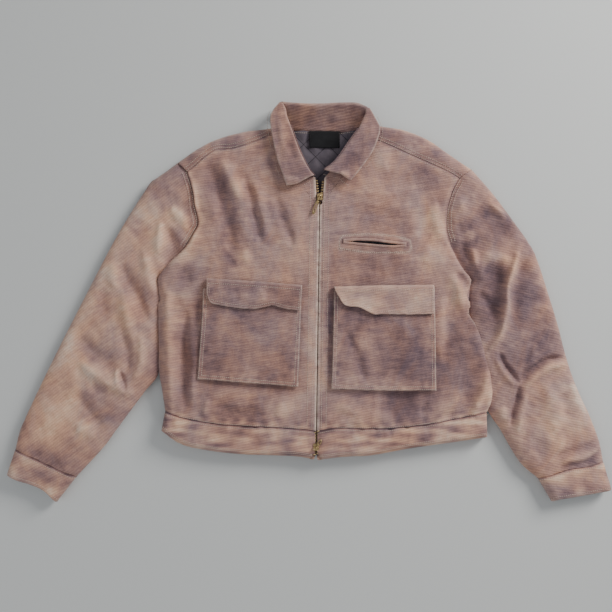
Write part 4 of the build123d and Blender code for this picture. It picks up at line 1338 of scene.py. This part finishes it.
# ---- rows of stitching ----------------------------------------------------------------------------
for side, s in TOWARD.items():
    body = f"front_{side}_part"
    seam, arm, waist = SEAM[side], ARM[side], WAIST[side]
    p = POCKET_EDGES[side]
    pocket_rows = []
    for gap in (2.4, 7.5):
        low_a, low_b = (p[2][0] + gap, p[2][1] + gap), (p[4][0] - gap, p[4][1] + gap)
        pocket_rows += [[(p[0][0] + gap, p[0][1] - 2), (p[1][0] + gap, p[1][1]), low_a],
                        [low_a, (p[3][0], p[3][1] + gap), low_b],
                        [low_b, (p[5][0] - gap, p[5][1]), (p[6][0] - gap, p[6][1] - 2)]]
    pocket_rows.append([(p[0][0] + 3, p[0][1] - 16), (p[-1][0] - 3, p[-1][1] - 16)])
    sewn, low_edge = FLAP_EDGES[side]
    (x0, y0), (x1, y1), (x2, y2), (x3, y3) = sewn[0], low_edge[0], sewn[-1], low_edge[-1]
    # name, piece sewn, what it follows, rows
    for name, key, way, rows in (
            ("front", "front", FOLLOW[f"front_{side}"],
             [[(s * 17.5, 222), (s * 17.5, 0), (s * 17.5, -230)],
              [(s * 8.6, 190), (s * 8.6, 0), (s * 8.6, -232)],
              offset(seam, 2.2 * s), offset(seam, 8.4 * s), offset(waist[1:-1], 2.4),
              offset(arm[:6], 2.4 * s), offset(arm[:6], 8.6 * s)]),
            ("band", "band", body, [offset(waist, -3.0), offset(HEM[side], 7.0), offset(HEM[side], 9.8)]),
            ("yoke", "yoke", "shell", [offset(seam[1:-1], -3.2 * s)]),
            ("pocket", "pocket", body, pocket_rows),
            ("flap", "flap", f"flap_{side}_part",
             [shifted(sewn, 0, -9.5), offset(low_edge[1:], 5.5), [(x0 + 4, y0 - 10), (x1 + 5, y1 + 2)],
              [(x2 - 4, y2 - 10), (x3 - 4, y3 + 4)]]),
            ("collar", "leaf", FOLLOW[f"leaf_{side}"],
             [offset(LEAF[side][1:-1], 6 * s), offset(LEAF_END[side], -5 * s)]),
            ("cuff", "cuff", f"sleeve_{side}_part",
             [offset(CUFF_TOP[side], 3 * s), offset(CUFF_END[side], -6 * s)])):
        stitches(f"{name}_stitches_{side}", tree(pieces[f"{key}_{side}"]), rows, way)

stitches("chest_stitches", front_tree["right"],
         [[(39, 101), (38, 113), (44, 125)], [(44, 125), (94, 129), (140, 126), (170, 119)],
          [(171, 119), (172, 108), (168, 96)], [(168, 96), (96, 94), (39, 101)]], FOLLOW["front_right"])
stitches("label_stitches", tree(pieces["label"]),
         [[(-20.5, 327.5), (-19.5, 316)], [(-20.5, 327.5), (-12, 327.5)], [(35.5, 327.5), (35.5, 316)],
          [(35.5, 327.5), (27, 327.5)]], "shell", THREAD_DARK, pitch=2.4, run=1.8, thick=0.25)
stitches("neck_stitches", tree(pieces["back"]), [[(-58, 326), (10, 325), (72, 328)]], "shell")


# ---- which CAD nodes each piece stands for, what it follows and how it was cut ------------------------
# Key, what it follows, nodes it stands for, flat width, length and area of each, how it is held, what it
# lies on. * is each side in turn.
SHEETS = [
    ("front_*", "front_*", "front_panel_* front_lining_* front_facing_* front_side_* front_side_lining_*",
     (0.31, 0.56, 0.148), (0.33, 0.56, 0.148), "laid", "back"),
    ("back", "shell", "back_panel back_batting back_lining side_seam_left side_seam_right",
     (0.65, 0.58, 0.312), "laid", None),
    ("yoke_*", "shell", "yoke_*", (0.22, 0.06, 0.0075), (0.24, 0.07, 0.0105), "folded", "back"),
    ("band_*", "front_*_part", "waistband_*", (0.30, 0.06, 0.018), (0.33, 0.06, 0.019), "laid", "band_back"),
    ("band_back", "shell", "waistband_back", (0.62, 0.055, 0.033), "laid", None),
    ("sleeve_*", "sleeve_*", "sleeve_upper_* sleeve_under_* sleeve_seams_* sleeve_head_*",
     (0.45, 0.55, 0.187), (0.45, 0.55, 0.180), "folded", None),
    ("cuff_*", "sleeve_*_part", "cuff_*", (0.24, 0.055, 0.013), (0.24, 0.055, 0.013), "folded", None),
    ("pocket_*", "front_*_part", "pocket_front_*", (0.19, 0.175, 0.033), (0.19, 0.19, 0.036), "laid",
     "front_*"),
    ("bellows_*", "front_*_part", "pocket_gusset_*",
     (0.011, 0.53, 0.0058), (0.011, 0.55, 0.006), "folded", "front_*"),
    ("flap_*", "flap_*", "flap_*", (0.18, 0.058, 0.0098), (0.19, 0.06, 0.0103), "folded", "pocket_*"),
    ("leaf_*", "leaf_*", "collar_leaf_*", (0.17, 0.06, 0.0072), (0.17, 0.06, 0.0068), "folded", "front_*"),
    ("stand_*", "front_*_part", "collar_stand_*",
     (0.12, 0.015, 0.0016), (0.12, 0.015, 0.0016), "folded", "front_*"),
    ("label", "shell", "neck_label", (0.06, 0.032, 0.0019), "laid", "back"),
    ("chest_bag", "front_right_part", "chest_pocket_bag", (0.125, 0.088, 0.0108), "laid", "back"),
    ("chest_lips", "front_right_part", "chest_welt", (0.012, 0.24, 0.0022), "folded", "front_right"),
    ("loop_*", "front_*_part", "pocket_loop_*", (0.02, 0.02, 0.0004), (0.02, 0.02, 0.0004), "laid",
     "pocket_*"),
    ("hook_*", "flap_*_part", "flap_hook_*", (0.02, 0.02, 0.0004), (0.02, 0.02, 0.0004), "laid", "flap_*"),
]
for row in SHEETS:
    for side, (wide, long, area) in zip(("left", "right"), row[3:-2]):
        key, way, nodes, under = (text and text.replace("*", side) for text in (*row[:3], row[-1]))
        obj = pieces[key]
        attach(obj, FOLLOW.get(way, way))
        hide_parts(*nodes.split())
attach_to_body(pieces["collar_back"], "shell")
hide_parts("collar_back")
for side in ("left", "right"):
    row, band_of_tape = teeth(side), tape(side)
    for obj, node in ((row, "zip_teeth"), (band_of_tape, "zip_tape")):
        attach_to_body(obj, f"front_{side}_part")
        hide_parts(f"{node}_{side}")


# ---- floor, light and camera ---------------------------------------------------------------------------
bpy.ops.mesh.primitive_plane_add(size=8, location=(0, 0, -0.0005))
floor = bpy.context.object
floor.name = "floor"
floor.data.materials.append(Shader("floor", rough=0.95).finish((0.62, 0.63, 0.62, 1)))

for name, at, size, power, tint in (
        ("key", (1.9, 1.5, 1.25), 1.0, 78, (1.0, 0.985, 0.96)),
        ("fill", (-1.9, -0.6, 2.2), 2.6, 14, (0.94, 0.97, 1.0)),
        ("front", (0.4, -2.2, 1.8), 2.2, 10, (1.0, 1.0, 1.0))):
    light = bpy.data.lights.new(name, "AREA")
    light.size = size
    light.energy = power
    light.color = tint
    lamp = bpy.data.objects.new(name, light)
    lamp.location = at
    lamp.rotation_euler = (Vector((0, 0, 0)) - Vector(at)).to_track_quat("-Z", "Y").to_euler()
    bpy.context.scene.collection.objects.link(lamp)

world = bpy.data.worlds.new("studio")
world.use_nodes = True
world.node_tree.nodes["Background"].inputs[0].default_value = (0.93, 0.96, 1.0, 1)
world.node_tree.nodes["Background"].inputs[1].default_value = 0.33
bpy.context.scene.world = world

lens = bpy.data.cameras.new("camera")
lens.sensor_fit = "HORIZONTAL"
lens.angle = math.radians(52.0)
camera = bpy.data.objects.new("camera", lens)
camera.location = (ZIP_X - 0.0216, MID_Y - 0.0687, 1.1904)
camera.rotation_euler = (math.radians(3.0), 0.0, math.radians(0.858))
bpy.context.scene.collection.objects.link(camera)
bpy.context.scene.camera = camera

bpy.context.view_layer.update()
